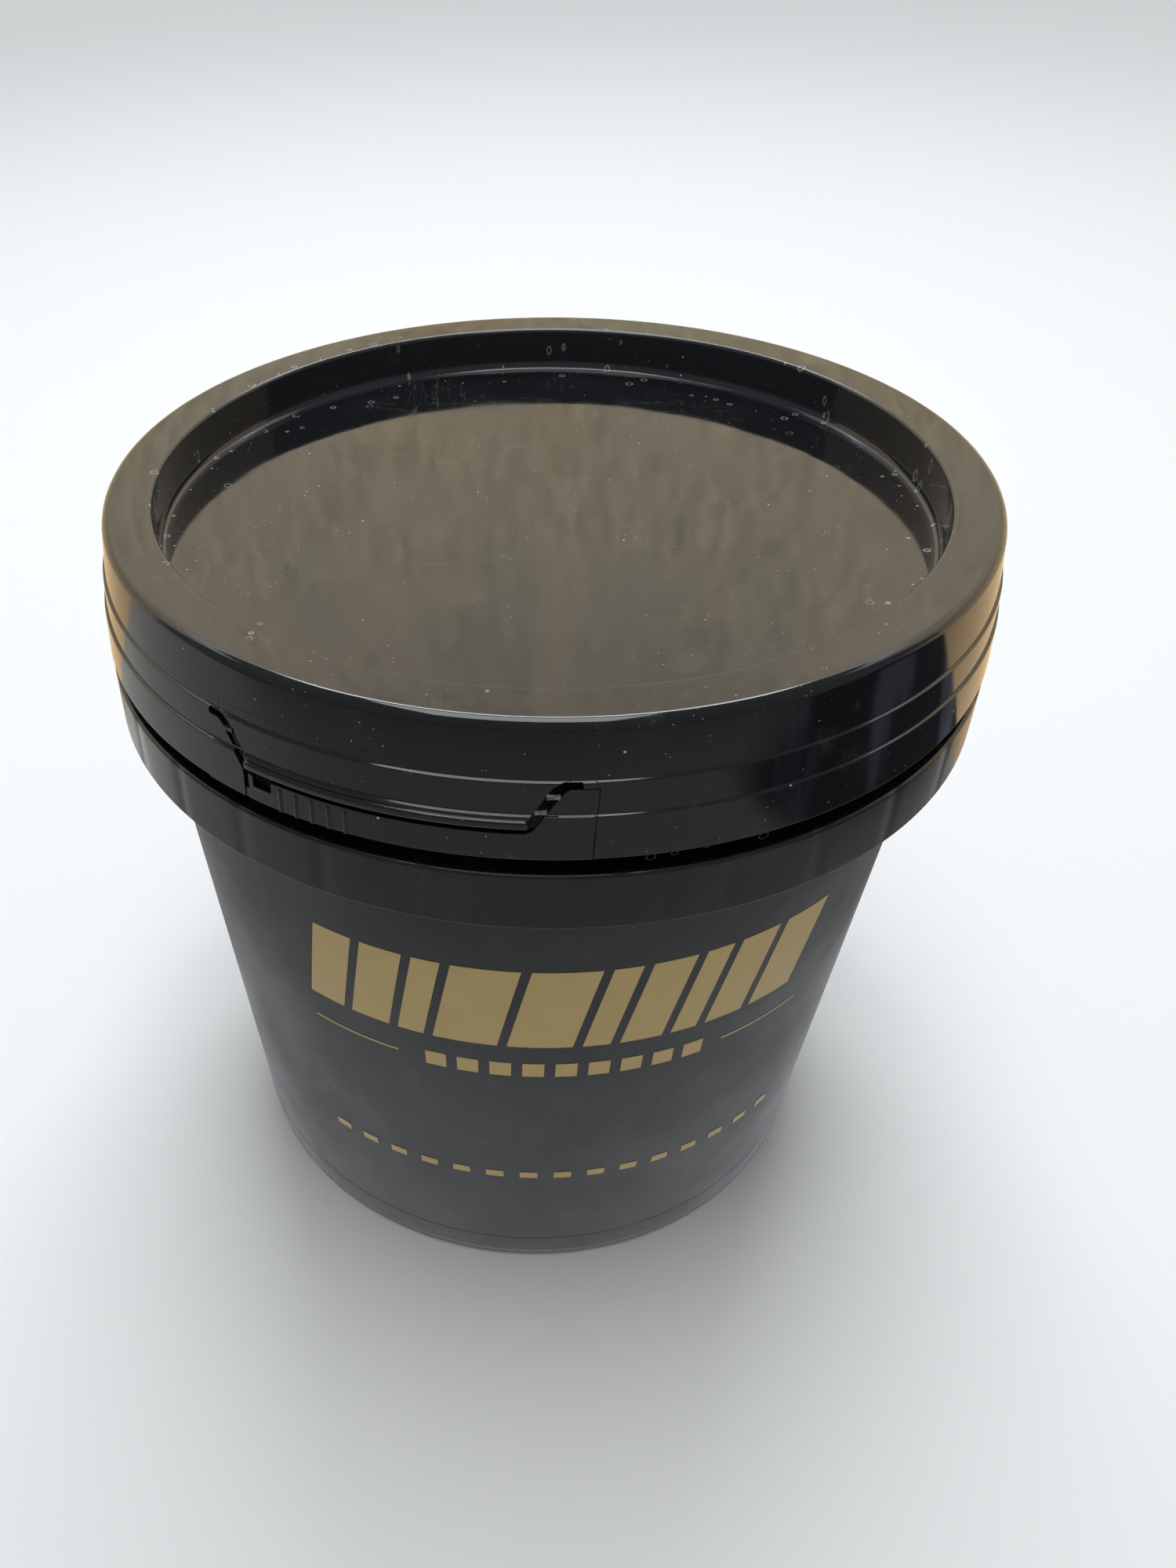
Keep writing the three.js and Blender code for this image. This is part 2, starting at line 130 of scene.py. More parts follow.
def make_object(name, bm):
    """A new object in the scene from a bmesh whose coordinates are in millimetres."""
    bmesh.ops.scale(bm, vec=(MM, MM, MM), verts=bm.verts)
    mesh = bpy.data.meshes.new(name)
    bm.to_mesh(mesh)
    bm.free()
    return add_object(name, mesh)


def make_solid(name, bm):
    """The same, with the faces turned outward first."""
    bmesh.ops.recalc_face_normals(bm, faces=bm.faces)
    return make_object(name, bm)


def even_angles(count):
    return [FULL_TURN * k / count for k in range(count)]


def rounded(corners, steps=5, closed=True):
    """An outline whose (r, z, radius) corners become arcs of that radius."""
    count = len(corners)
    outline = []
    for i, (r, z, radius) in enumerate(corners):
        here = Vector((r, z))
        open_end = not closed and i in (0, count - 1)
        if radius <= 0 or open_end:
            outline.append((r, z))
            continue
        to_last = Vector(corners[i - 1][:2]) - here
        to_next = Vector(corners[(i + 1) % count][:2]) - here
        half = to_last.angle(to_next) / 2
        reach = min(radius / math.tan(half), 0.45 * to_last.length, 0.45 * to_next.length)
        fit = reach * math.tan(half)
        middle = (to_last.normalized() + to_next.normalized()).normalized()
        centre = here + middle * (fit / math.sin(half))
        first = here + to_last.normalized() * reach - centre
        last = here + to_next.normalized() * reach - centre
        start = math.atan2(first.y, first.x)
        turn = math.remainder(math.atan2(last.y, last.x) - start, FULL_TURN)
        for k in range(steps + 1):
            angle = start + turn * k / steps
            outline.append((centre.x + fit * math.cos(angle), centre.y + fit * math.sin(angle)))
    return outline


def on_circle(r, angle, z):
    """The point at radius r and height z, at an angle from the front, positive to the right."""
    return Vector((r * math.sin(angle), -r * math.cos(angle), z))


def lathe(name, outline, angles=None, closed=True, push=None):
    """A closed surface turned about Z. An open outline starts and ends on the axis.
    push(angle, r, z) moves a point of the surface outward."""
    angles = angles or even_angles(COLUMNS)
    bm = bmesh.new()
    rings = []
    for r, z in outline:
        if r < 1e-6:
            rings.append([bm.verts.new((0, 0, z))] * len(angles))
            continue
        ring = []
        for angle in angles:
            out = r + (push(angle, r, z) if push else 0)
            ring.append(bm.verts.new(on_circle(out, angle, z)))
        rings.append(ring)
    pairs = list(zip(rings, rings[1:]))
    if closed:
        pairs.append((rings[-1], rings[0]))
    for low, high in pairs:
        for i in range(len(angles)):
            j = (i + 1) % len(angles)
            corners = [low[i], low[j], high[j], high[i]]
            face = [v for k, v in enumerate(corners) if v not in corners[:k]]
            if len(face) > 2:
                bm.faces.new(face)
    return make_solid(name, bm)


def tab_prism(points):
    """A closed prism through the lid's skirt, from an outline (x, z) on the plane that the tab faces."""
    near, far = RECESS_R + WALL + 1.2, SKIRT_R + 12
    bm = bmesh.new()
    turn = Matrix.Rotation(TAB_ANGLE, 3, "Z")
    front = [bm.verts.new(turn @ Vector((x, -far, z))) for x, z in points]
    back = [bm.verts.new(turn @ Vector((x, -near, z))) for x, z in points]
    bm.faces.new(front)
    bm.faces.new(back[::-1])
    for i in range(len(points)):
        j = (i + 1) % len(points)
        bm.faces.new((front[j], front[i], back[i], back[j]))
    return make_solid("cutter", bm)


def loft(bm, rings, capped=True):
    """Joins closed rings of equal count with a skin, and caps its ends."""
    for low, high in zip(rings, rings[1:]):
        for k in range(len(low)):
            j = (k + 1) % len(low)
            bm.faces.new((low[k], low[j], high[j], high[k]))
    if capped:
        bm.faces.new(rings[0][::-1])
        bm.faces.new(rings[-1])


def combine(obj, tool, operation):
    """Applies one exact boolean to obj and removes the tool."""
    modifier = obj.modifiers.new("boolean", "BOOLEAN")
    modifier.operation = operation
    modifier.solver = "EXACT"
    modifier.object = tool
    bpy.context.view_layer.update()
    result = bpy.data.meshes.new_from_object(obj.evaluated_get(bpy.context.evaluated_depsgraph_get()))
    obj.modifiers.clear()
    obj.data = result
    bpy.data.objects.remove(tool)


def drop_folds(obj):
    """Deletes the pairs of triangles that a boolean can leave folded flat on each other."""
    bm = bmesh.new()
    bm.from_mesh(obj.data)
    bmesh.ops.triangulate(bm, faces=[face for face in bm.faces if len(face.verts) > 4])
    twins = {}
    for face in bm.faces:
        corners = sorted(tuple(round(c / MM, 4) for c in vert.co) for vert in face.verts)
        twins.setdefault(tuple(corners), []).append(face)
    folded = [face for faces in twins.values() if len(faces) > 1 for face in faces]
    bmesh.ops.delete(bm, geom=folded, context="FACES")
    bm.to_mesh(obj.data)
    bm.free()


def read(items, name, width, kind=float):
    """One property of every item of a mesh, as rows of that width."""
    data = np.empty(len(items) * width, dtype=kind)
    items.foreach_get(name, data)
    return data.reshape(-1, width) if width > 1 else data


def shade(obj, outline=None, closed=True, sharp_degrees=32):
    """Smooth shading. Where the surface is the turned outline, its normals are the outline's own."""
    mesh = obj.data
    mesh.shade_smooth()
    mesh.set_sharp_from_angle(angle=math.radians(sharp_degrees))
    if outline is None:
        return obj
    normals = read(mesh.corner_normals, "vector", 3)
    index = read(mesh.loops, "vertex_index", 1, np.int32)
    places = read(mesh.vertices, "co", 3)[index] / MM
    sizes = read(mesh.polygons, "loop_total", 1, np.int32)
    flat = np.repeat(read(mesh.polygons, "normal", 3), sizes, axis=0)
    middle = np.repeat(read(mesh.polygons, "center", 3), sizes, axis=0)

    points = np.array(outline, dtype=float)
    ends = np.roll(points, -1, axis=0)
    if not closed:
        points, ends = points[:-1], ends[:-1]
    run = ends - points
    length = np.linalg.norm(run, axis=1)
    across = np.stack([run[:, 1], -run[:, 0]], axis=1) / length[:, None]

    def corner(a, b):
        """The shared normal at the corner between neighbouring stretches, or a's own where it is sharp."""
        mixed = across[a] * length[a][:, None] + across[b] * length[b][:, None]
        mixed /= np.linalg.norm(mixed, axis=1)[:, None]
        sharp = (across[a] * across[b]).sum(axis=1) < math.cos(math.radians(sharp_degrees))
        mixed[sharp] = across[a][sharp]
        return mixed

    order = np.arange(len(points))
    at_start, at_end = corner(order, np.roll(order, 1)), corner(order, np.roll(order, -1))
    if not closed:
        at_start[0], at_end[-1] = across[0], across[-1]

    face_angle = np.arctan2(middle[:, 0], -middle[:, 1])
    radial = flat[:, 0] * np.sin(face_angle) - flat[:, 1] * np.cos(face_angle)
    around = flat[:, 0] * np.cos(face_angle) + flat[:, 1] * np.sin(face_angle)
    angle = np.arctan2(places[:, 0], -places[:, 1])
    radius = np.hypot(places[:, 0], places[:, 1])
    best = np.full(len(index), 9.0)
    chosen = normals.copy()
    for k in range(len(points)):
        offset_r, offset_z = radius - points[k, 0], places[:, 2] - points[k, 1]
        along = np.clip((offset_r * run[k, 0] + offset_z * run[k, 1]) / length[k] ** 2, 0, 1)
        gap = np.hypot(offset_r - along * run[k, 0], offset_z - along * run[k, 1])
        facing = radial * across[k, 0] + flat[:, 2] * across[k, 1]
        score = gap + 2 * (1 - np.abs(facing))
        hit = (gap < 0.4) & (np.abs(facing) > 0.995) & (np.abs(around) < 0.1) & (score < best)
        best[hit] = score[hit]
        mixed = at_start[k] * (1 - along[hit, None]) + at_end[k] * along[hit, None]
        mixed *= np.sign(facing[hit])[:, None]
        mixed /= np.linalg.norm(mixed, axis=1)[:, None]
        chosen[hit, 0] = mixed[:, 0] * np.sin(angle[hit])
        chosen[hit, 1] = -mixed[:, 0] * np.cos(angle[hit])
        chosen[hit, 2] = mixed[:, 1]
    mesh.normals_split_custom_set(chosen.tolist())
    return obj


def tube(name, points, radius, sides=24):
    """A round wire along 3-D points in one plane, with domed ends."""
    bm = bmesh.new()
    last = len(points) - 1
    flat_normal = None
    for i in range(1, last):
        bend = (points[i] - points[i - 1]).cross(points[i + 1] - points[i])
        if bend.length > 1e-6:
            flat_normal = bend.normalized()
            break
    rings = []

    def ring(centre, along, size):
        side = along.cross(flat_normal).normalized()
        rings.append([bm.verts.new(centre + (side * math.cos(t) + flat_normal * math.sin(t)) * size)
                      for t in even_angles(sides)])

    domes = [(0.0, 0.35), (0.12, 0.75), (0.45, 1.0)]
    first_way = (points[1] - points[0]).normalized()
    last_way = (points[last] - points[last - 1]).normalized()
    for ahead, size in domes:
        ring(points[0] + first_way * ahead * radius, first_way, radius * size)
    for i in range(1, last):
        ring(points[i], (points[i + 1] - points[i - 1]).normalized(), radius)
    for ahead, size in reversed(domes):
        ring(points[last] - last_way * ahead * radius, last_way, radius * size)
    loft(bm, rings)
    return make_solid(name, bm)


# ---- Outlines of the turned parts, (radius, height, rounding) ----

SKIRT_FACE = [
    (CROWN_R, TOP, 2.8),
    (RIDGE_1_R - LEDGE, RIDGE_1_Z + 0.25, 0.2),
    (RIDGE_1_R, RIDGE_1_Z, 0.3),
    (RIDGE_2_R - LEDGE, RIDGE_2_Z + 0.25, 0.2),
    (RIDGE_2_R, RIDGE_2_Z, 0.3),
    (SKIRT_R, SKIRT_Z, 0.35),
]
SKIRT_BACK = [
    (SKIRT_R - WALL, SKIRT_Z, 0.35),
    (RIDGE_2_R - WALL, RIDGE_2_Z, 1.0),
    (RIDGE_1_R - WALL, RIDGE_1_Z, 1.0),
    (CROWN_R - WALL, TOP - WALL, 0.6),
]
LID_OUTLINE = rounded([
    (0, PANEL_Z, 0),
    (RECESS_R - 0.9, PANEL_Z, 1.5),
    (RECESS_R, PANEL_Z + 2.2, 3.0),
    (RECESS_R, TOP, 1.2),
    *SKIRT_FACE,
    *SKIRT_BACK,
    (PLUG_R, TOP - WALL, 0.5),
    (PLUG_R, PLUG_Z, 0.6),
    (PLUG_R - 1.3, PLUG_Z, 0.5),
    (PLUG_R - 1.3, TOP - WALL, 0.5),
    (RECESS_R + WALL, TOP - WALL, 0.5),
    (RECESS_R + WALL, PANEL_Z - WALL, 1.5),
    (0, PANEL_Z - WALL, 0),
], closed=False)
SKIRT_OUTLINE = rounded([*SKIRT_FACE, *SKIRT_BACK])


def wall_radius(z):
    """The pail's outer radius at a height."""
    return BASE_R + (WALL_AT_COLLAR - BASE_R) * (z - CORNER_R) / (COLLAR_BOTTOM - CORNER_R)


def pail_outline():
    """The pail's section, from under the base, up the wall, over the rim and down inside."""
    under = COLLAR_TOP - WALL
    foot = BASE_R - CORNER_R
    floor = 4.8
    return rounded([
        (0, 3, 0),
        (foot - 6, 3, 1.0),
        (foot - 4.5, 0, 0.8),
        (BASE_R - 0.5, 0, CORNER_R),
        (wall_radius(CHIME_Z), CHIME_Z, 0.4),
        (wall_radius(CHIME_Z) - 0.08, CHIME_Z + 0.5, 0.3),
        (wall_radius(under), under, 1.5),
        (COLLAR_R - WALL - 0.4, under, 1.0),
        (COLLAR_R - WALL, COLLAR_BOTTOM, 0.4),
        (COLLAR_R, COLLAR_BOTTOM, 0.4),
        (COLLAR_R - 0.4, COLLAR_TOP, 1.1),
        (NECK_R, COLLAR_TOP, 1.2),
        (NECK_R + 0.4, RIM_Z - 6, 1.0),
        (RIM_BEAD_R, RIM_Z - 4, 0.8),
        (RIM_BEAD_R, RIM_Z, 1.2),
        (PLUG_R + 0.7, RIM_Z, 0.9),
        (NECK_R - WALL, COLLAR_TOP, 3),
        (wall_radius(COLLAR_BOTTOM) - WALL, COLLAR_BOTTOM, 3),
        (BASE_R - WALL - 0.5, floor, CORNER_R - WALL),
        (0, floor, 0),
    ], closed=False)


# ---- Lid, flap, strap and ties ----

def insert_push(angle, r, z):
    """The tab zone's mould insert leaves the skirt a hair proud of the rest, below its top line."""
    turned = math.remainder(angle, FULL_TURN)
    inside = INSERT_LEFT < turned < INSERT_RIGHT and z < WEB_TOP
    on_face = r > CROWN_R - 0.5
    return INSERT_PROUD if inside and on_face and r > skirt_face_radius(z) - 0.4 else 0


def skirt_face_radius(z):
    """The skirt's outer radius at a height, between the ledges."""
    stops = [(SKIRT_Z, SKIRT_R), (RIDGE_2_Z, RIDGE_2_R), (RIDGE_1_Z, RIDGE_1_R), (TOP, CROWN_R)]
    for (z0, r0), (z1, r1) in zip(stops, stops[1:]):
        if z <= z1:
            return r0 + (r1 - r0) * (z - z0) / (z1 - z0)
    return CROWN_R


def insert_angles():
    """Column angles with a close pair at each side of the mould insert."""
    angles = even_angles(COLUMNS)
    hair = math.radians(0.03)
    for edge in (INSERT_LEFT, INSERT_RIGHT):
        angles = [a for a in angles if abs(math.remainder(a - edge, FULL_TURN)) > 3 * hair]
        angles += [(edge - hair) % FULL_TURN, (edge + hair) % FULL_TURN]
    return sorted(angles)


def with_row_pair(outline, z):
    """The outline with a close pair of points on the skirt's face at a height."""
    result = []
    for (r0, z0), (r1, z1) in zip(outline, outline[1:] + outline[:1]):
        result.append((r0, z0))
        if z0 > z > z1 and min(r0, r1) > CROWN_R - 0.1:
            for level in (z + 0.08, z - 0.08):
                result.append((r0 + (r1 - r0) * (z0 - level) / (z0 - z1), level))
    return result


LID_ROWS = with_row_pair(LID_OUTLINE, WEB_TOP)
SKIRT_ROWS = with_row_pair(SKIRT_OUTLINE, WEB_TOP)


def smooth_shape(points):
    """An (x, z) outline whose (x, z, radius) corners are rounded."""
    return rounded(points, steps=6)


def slot_edge(side):
    """Corners of a slot's outer edge from the strap's level up to the end of its curl."""
    return [
        (side * (FLAP_HALF_BOTTOM + 1.0), STRAP_TOP + 0.9, 1.0),
        (side * (FLAP_HALF_TOP + 2.2), CURL_BOTTOM - 0.9, 1.6),
        (side * (FLAP_HALF_TOP + 3.4), CURL_BOTTOM, 1.2),
    ]


def flap_edge(side):
    """Corners of the flap's side edge from the lip up to the curl."""
    return [
        (side * FLAP_HALF_BOTTOM, LIP_TOP, 1.2),
        (side * (FLAP_HALF_TOP - 0.3), CURL_TOP - 1.3, 1.8),
        (side * (FLAP_HALF_TOP + 1.6), CURL_TOP, 1.6),
    ]


def opening_outline():
    """The hole in the lid's skirt that the flap, the strap and the slots fill."""
    return smooth_shape([
        (SLIT_LEFT, BELOW_SKIRT, 0),
        (SEAM, BELOW_SKIRT, 0),
        (SEAM, CURL_BOTTOM + 0.3, 0),
        (SLOT_END, CURL_BOTTOM + 0.3, 0.1),
        (SLOT_END, CURL_TOP, 0.6),
        (WEB_HALF, CURL_TOP, 0.1),
        (WEB_HALF, WEB_TOP, 0.1),
        (-WEB_HALF, WEB_TOP, 0.1),
        (-WEB_HALF, CURL_TOP, 0.1),
        (-SLOT_END, CURL_TOP, 0.6),
        (-SLOT_END, CURL_BOTTOM, 0.6),
        *slot_edge(-1)[::-1],
        (SLIT_LEFT, STRAP_TOP - 0.6, 0.4),
    ])


def flap_outline():
    """The flap with the thin web above it, up to the line where the web leaves the skirt."""
    web = WEB_HALF - WEB_GAP
    return smooth_shape([
        (-FLAP_HALF_BOTTOM, FLAP_BOTTOM, 0.4),
        (FLAP_HALF_BOTTOM, FLAP_BOTTOM, 0.4),
        *flap_edge(1),
        (web, CURL_TOP, 0),
        (web, WEB_TOP - 0.04, 0),
        (-web, WEB_TOP - 0.04, 0),
        (-web, CURL_TOP, 0),
        *flap_edge(-1)[::-1],
    ])


def strap_outline():
    """The strap, from the slit beside the window to the tear line, with the ear beside the right slot."""
    return smooth_shape([
        (STRAP_LEFT, BELOW_SKIRT, 0),
        (SEAM - SEAM_GAP, BELOW_SKIRT, 0),
        (SEAM - SEAM_GAP, CURL_BOTTOM, 0.3),
        *slot_edge(1)[::-1],
        (FLAP_HALF_BOTTOM - 0.8, STRAP_TOP, 1.0),
        (STRAP_LEFT, STRAP_TOP, 0.3),
    ])


def rectangle(left, right, bottom, top, radius=0.3):
    corners = ((left, bottom), (right, bottom), (right, top), (left, top))
    return smooth_shape([(x, z, radius) for x, z in corners])


def skirt_ring(name, push=None):
    return lathe(name, SKIRT_ROWS, insert_angles(), push=push)


def make_lid():
    lid = lathe("lid_shell", LID_ROWS, insert_angles(), closed=False, push=insert_push)
    combine(lid, tab_prism(opening_outline()), "DIFFERENCE")
    drop_folds(lid)
    shade(lid, LID_ROWS, closed=False)
    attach(lid, "lid")
    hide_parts("lid")
    return lid


def sweep_sector(name, section, start, end, columns, cap):
    """A ring sector with a rounded section whose ends taper off over a short length cap, in mm."""
    bm = bmesh.new()
    centre = Vector((sum(p[0] for p in section), sum(p[1] for p in section))) / len(section)
    span = cap / centre.x
    quarter = [math.pi / 2 * k / 5 for k in range(1, 6)]
    stations = [(start + span * (1 - math.cos(t)), math.sin(t)) for t in quarter]
    stations += [(start + span + (end - start - 2 * span) * k / columns, 1.0) for k in range(1, columns)]
    stations += [(end - span * (1 - math.cos(t)), math.sin(t)) for t in quarter[::-1]]
    rings = []
    for angle, size in stations:
        keep = 0.25 + 0.75 * size
        spots = [centre + (Vector(p) - centre) * keep for p in section]
        rings.append([bm.verts.new(on_circle(s.x, angle, s.y)) for s in spots])
    loft(bm, rings)
    return make_solid(name, bm)


def make_flap():
    flap = skirt_ring("flap_panel", push=insert_push)
    combine(flap, tab_prism(flap_outline()), "INTERSECT")
    root = RIDGE_2_R - WALL + 0.5
    section = rounded([
        (root, FLAP_BOTTOM, 0.1),
        (RIDGE_2_R + LIP_PROUD, FLAP_BOTTOM, 0.55),
        (RIDGE_2_R + LIP_PROUD, LIP_TOP - 0.5, 0.9),
        (RIDGE_2_R + 0.1, LIP_TOP - 0.2, 0.3),
        (root, LIP_TOP - 0.2, 0.1),
    ], steps=4)
    half = math.asin((FLAP_HALF_BOTTOM - 0.1) / RIDGE_2_R)
    lip = sweep_sector("lip", section, TAB_ANGLE - half, TAB_ANGLE + half, 40, 0.8)
    combine(flap, lip, "UNION")
    shade(flap, SKIRT_ROWS)
    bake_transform(flap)
    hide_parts("lifting_flap")
    return flap


def rib(x):
    """An upright half-round grip rib with a domed top, leaning with the skirt."""
    bm = bmesh.new()
    radius, top = 0.85, RIB_TOP - SKIRT_Z
    sides = 16
    levels = [(0.0, 0.72), (0.2, 1.0)]
    dome = [math.pi / 2 * k / 5 for k in range(5)]
    levels += [(top - radius + radius * math.sin(t), math.cos(t)) for t in dome]
    rings = []
    for level, size in levels:
        width = radius * size
        rings.append([bm.verts.new((width * math.cos(t), width * math.sin(t), level))
                      for t in even_angles(sides)])
    tip = bm.verts.new((0, 0, top))
    loft(bm, rings, capped=False)
    for k in range(sides):
        bm.faces.new((rings[-1][k], rings[-1][(k + 1) % sides], tip))
    bm.faces.new(rings[0][::-1])
    lean = math.atan((SKIRT_R - RIDGE_2_R) / (RIDGE_2_Z - SKIRT_Z))
    depth = math.sqrt((SKIRT_R - 0.15) ** 2 - x * x)
    place = Matrix.Rotation(TAB_ANGLE, 4, "Z") @ Matrix.Translation((x, -depth, SKIRT_Z + 0.05))
    bmesh.ops.transform(bm, matrix=place @ Matrix.Rotation(-lean, 4, "X"), verts=bm.verts)
    return make_solid("rib", bm)


def make_strap():
    strap = skirt_ring("strap_band", push=insert_push)
    combine(strap, tab_prism(strap_outline()), "INTERSECT")
    left, right, bottom, top = WINDOW
    rim = lathe("window_frame", [(r + FRAME_PROUD, z) for r, z in SKIRT_OUTLINE])
    around = rectangle(left - 1.0, right + 1.0, bottom - 0.9, STRAP_TOP - 0.05)
    combine(rim, tab_prism(around), "INTERSECT")
    combine(strap, rim, "UNION")
    combine(strap, tab_prism(rectangle(left, right, bottom, top + 2)), "DIFFERENCE")
    for k in range(5):
        combine(strap, rib(RIB_FIRST + RIB_PITCH * k), "UNION")
    shade(strap, SKIRT_ROWS)
    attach(strap, "strap")
    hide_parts("tear_strap")
    return strap


def tie(name, node, body, x, z, width, height=1.5, depth=0.8):
    """A small necked bridge across a slot, drawn thin in its middle."""
    bm = bmesh.new()
    skin = RIDGE_2_R - WALL + depth / 2 + 0.25
    rings = []
    deep, tall, soft = depth / 2, height / 2, 0.2
    corners = rounded([(-deep, -tall, soft), (deep, -tall, soft), (deep, tall, soft), (-deep, tall, soft)],
                      steps=3)
    for k in range(9):
        along = -1 + 2 * k / 8
        neck = 0.78 + 0.22 * along * along
        rings.append([bm.verts.new((along * width / 2, y * neck, v * neck)) for y, v in corners])
    loft(bm, rings)
    swing = math.asin(x / skin)
    place = (Matrix.Rotation(TAB_ANGLE, 4, "Z")
             @ Matrix.Translation((x, -math.sqrt(skin ** 2 - x * x), z))
             @ Matrix.Rotation(swing, 4, "Z"))
    bmesh.ops.transform(bm, matrix=place, verts=bm.verts)
    bridge = shade(make_solid(name, bm))
    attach(bridge, body)
    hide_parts(node)
    return bridge


def slot_middle(z):
    """Middle and level width of the right slot at a height."""
    (x0, z0, _), (x1, z1, _) = slot_edge(1)[:2]
    outer = x0 + (x1 - x0) * (z - z0) / (z1 - z0)
    (x2, z2, _), (x3, z3, _) = flap_edge(1)[:2]
    inner = x2 + (x3 - x2) * (z - z2) / (z3 - z2)
    return (outer + inner) / 2, outer - inner


def make_ties():
    ties = []
    for side, sign, body in (("left", -1, "lid"), ("right", 1, "strap")):
        for level, z in (("upper", TIE_UPPER_Z), ("lower", TIE_LOWER_Z)):
            x, width = slot_middle(z)
            node = f"tie_{side}_{level}"
            ties.append(tie(f"bridge_{side}_{level}", node, body, sign * x, z, width - 0.1))
    start = skirt_ring("bridge_strap_start")
    across_slit = rectangle(SLIT_LEFT + 0.05, STRAP_LEFT - 0.05, SKIRT_Z + 0.1, SKIRT_Z + 2.9, 0.1)
    combine(start, tab_prism(across_slit), "INTERSECT")
    shade(start, SKIRT_OUTLINE)
    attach(start, "lid")
    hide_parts("tie_strap_start")
    return ties, start


def make_seal():
    outline = rounded([
        (seal_high.x - SEAL_WIDTH, seal_low.z, 0.4), (seal_high.x, seal_low.z, 0.4),
        (seal_high.x, seal_high.z, 0.4), (seal_high.x - SEAL_WIDTH, seal_high.z, 0.4),
    ])
    seal = shade(lathe("seal_ring", outline), outline)
    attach(seal, "lid")
    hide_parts("lid_seal")
    return seal


# ---- Pail ----

def pivot_cylinder(radius, start, end, sign):
    """A cylinder along X on the bail's pivot axis, on the side that sign gives."""
    bm = bmesh.new()
    bmesh.ops.create_cone(
        bm, cap_ends=True, segments=48, radius1=radius, radius2=radius, depth=end - start)
    middle = Matrix.Translation((sign * (start + end) / 2, 0, PIVOT_Z))
    bmesh.ops.transform(bm, matrix=middle @ Matrix.Rotation(math.pi / 2, 4, "Y"), verts=bm.verts)
    return make_object("cutter", bm)


def make_pail():
    outline = pail_outline()
    ear_r, ear_face = 6.5, COLLAR_R + 0.7
    bore_r, bore_end = 2.3, 126.9
    pail = lathe("pail_shell", outline, closed=False)
    for sign in (-1, 1):
        combine(pail, pivot_cylinder(ear_r, wall_radius(PIVOT_Z) - 0.8, ear_face, sign), "UNION")
        combine(pail, pivot_cylinder(bore_r, bore_end, ear_face + 5, sign), "DIFFERENCE")
    shade(pail, outline, closed=False)
    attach(pail, "pail")
    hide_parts("pail_body")
    return pail


def make_gussets():
    """The thin stiffening plates between the wall and the collar."""
    bm = bmesh.new()
    top, bottom = COLLAR_TOP - WALL + 0.3, COLLAR_BOTTOM + 1.5
    inner, outer = wall_radius(PIVOT_Z) - 0.6, COLLAR_R - WALL + 0.2
    for i in range(GUSSETS):
        angle = FIRST_GUSSET + FULL_TURN * i / GUSSETS
        made = bmesh.ops.create_cube(bm, size=1)["verts"]
        place = (Matrix.Rotation(angle, 4, "Z")
                 @ Matrix.Translation((0, -(inner + outer) / 2, (top + bottom) / 2))
                 @ Matrix.Diagonal((1.2, outer - inner, top - bottom, 1)))
        bmesh.ops.transform(bm, matrix=place, verts=made)
    bmesh.ops.bevel(bm, geom=bm.edges[:], offset=0.25, segments=2, affect="EDGES")
    gussets = shade(make_object("collar_gussets", bm))
    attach(gussets, "pail")
    return gussets


# ---- Bail ----

def bezier(points, count):
    """Points along a cubic Bezier curve, without its last point."""
    a, b, c, d = (Vector(p) for p in points)
    return [a * (1 - t) ** 3 + b * 3 * t * (1 - t) ** 2 + c * 3 * t * t * (1 - t) + d * t ** 3
            for t in (i / count for i in range(count))]


def make_bail():
    reach = math.hypot(grip_axis.y, PIVOT_Z - grip_axis.z)
    half = grip_half + 6
    elbow = 3.2
    corner = [(LEG_X - elbow, 0, 0), (LEG_X - 0.9, 0, 0), (LEG_X, 0.9, 0), (LEG_X, elbow, 0)]
    right = [Vector((PIN_END, 0, 0)), Vector((PIN_END + 4, 0, 0))]
    right += bezier(corner, 8)
    right += [Vector((LEG_X, d, 0)) for d in (elbow, 8, 14)]
    right += bezier([(LEG_X, 20, 0), (LEG_X, 115, 0), (LEG_X - 26, reach, 0), (half, reach, 0)], 48)
    right += [Vector((x, reach, 0)) for x in (half, half / 2)]
    path = right + [Vector((0, reach, 0))] + [Vector((-p.x, p.y, p.z)) for p in reversed(right)]
    hang = math.atan2(grip_axis.y, PIVOT_Z - grip_axis.z)
    place = Matrix.Translation((0, 0, PIVOT_Z)) @ Matrix.Rotation(hang - math.pi / 2, 4, "X")
    wire = shade(tube("wire_bail", [place @ p for p in path], WIRE_R), sharp_degrees=60)
    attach(wire, "bail")
    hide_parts("bail_wire")
    return wire


def make_grip():
    """The moulded grip: four soft finger waves between two flanges, turned about the wire."""
    half, bore, waist, flange = grip_half, 2.3, 6.3, 7.8
    waves, wave, steps = 4, 0.5, 48
    wave_end = half - 6
    end = [(bore, half, 0.3), (flange, half, 1.0), (flange, half - 3.2, 0.8),
           (waist + wave, half - 5.2, 1.2)]
    outer = [(r, -z, radius) for r, z, radius in end]
    for k in range(1, steps):
        r = waist - wave * math.cos(FULL_TURN * waves * k / steps)
        outer.append((r, -wave_end + 2 * wave_end * k / steps, 0))
    outline = rounded(outer + end[::-1], steps=4)
    grip = lathe("grip_sleeve", outline, even_angles(64))
    grip.data.transform(Matrix.Translation(grip_axis * MM) @ Matrix.Rotation(math.pi / 2, 4, "Y"))
    shade(grip)
    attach(grip, "grip")
    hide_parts("bail_grip")
    return grip


# ---- Print on the wall ----

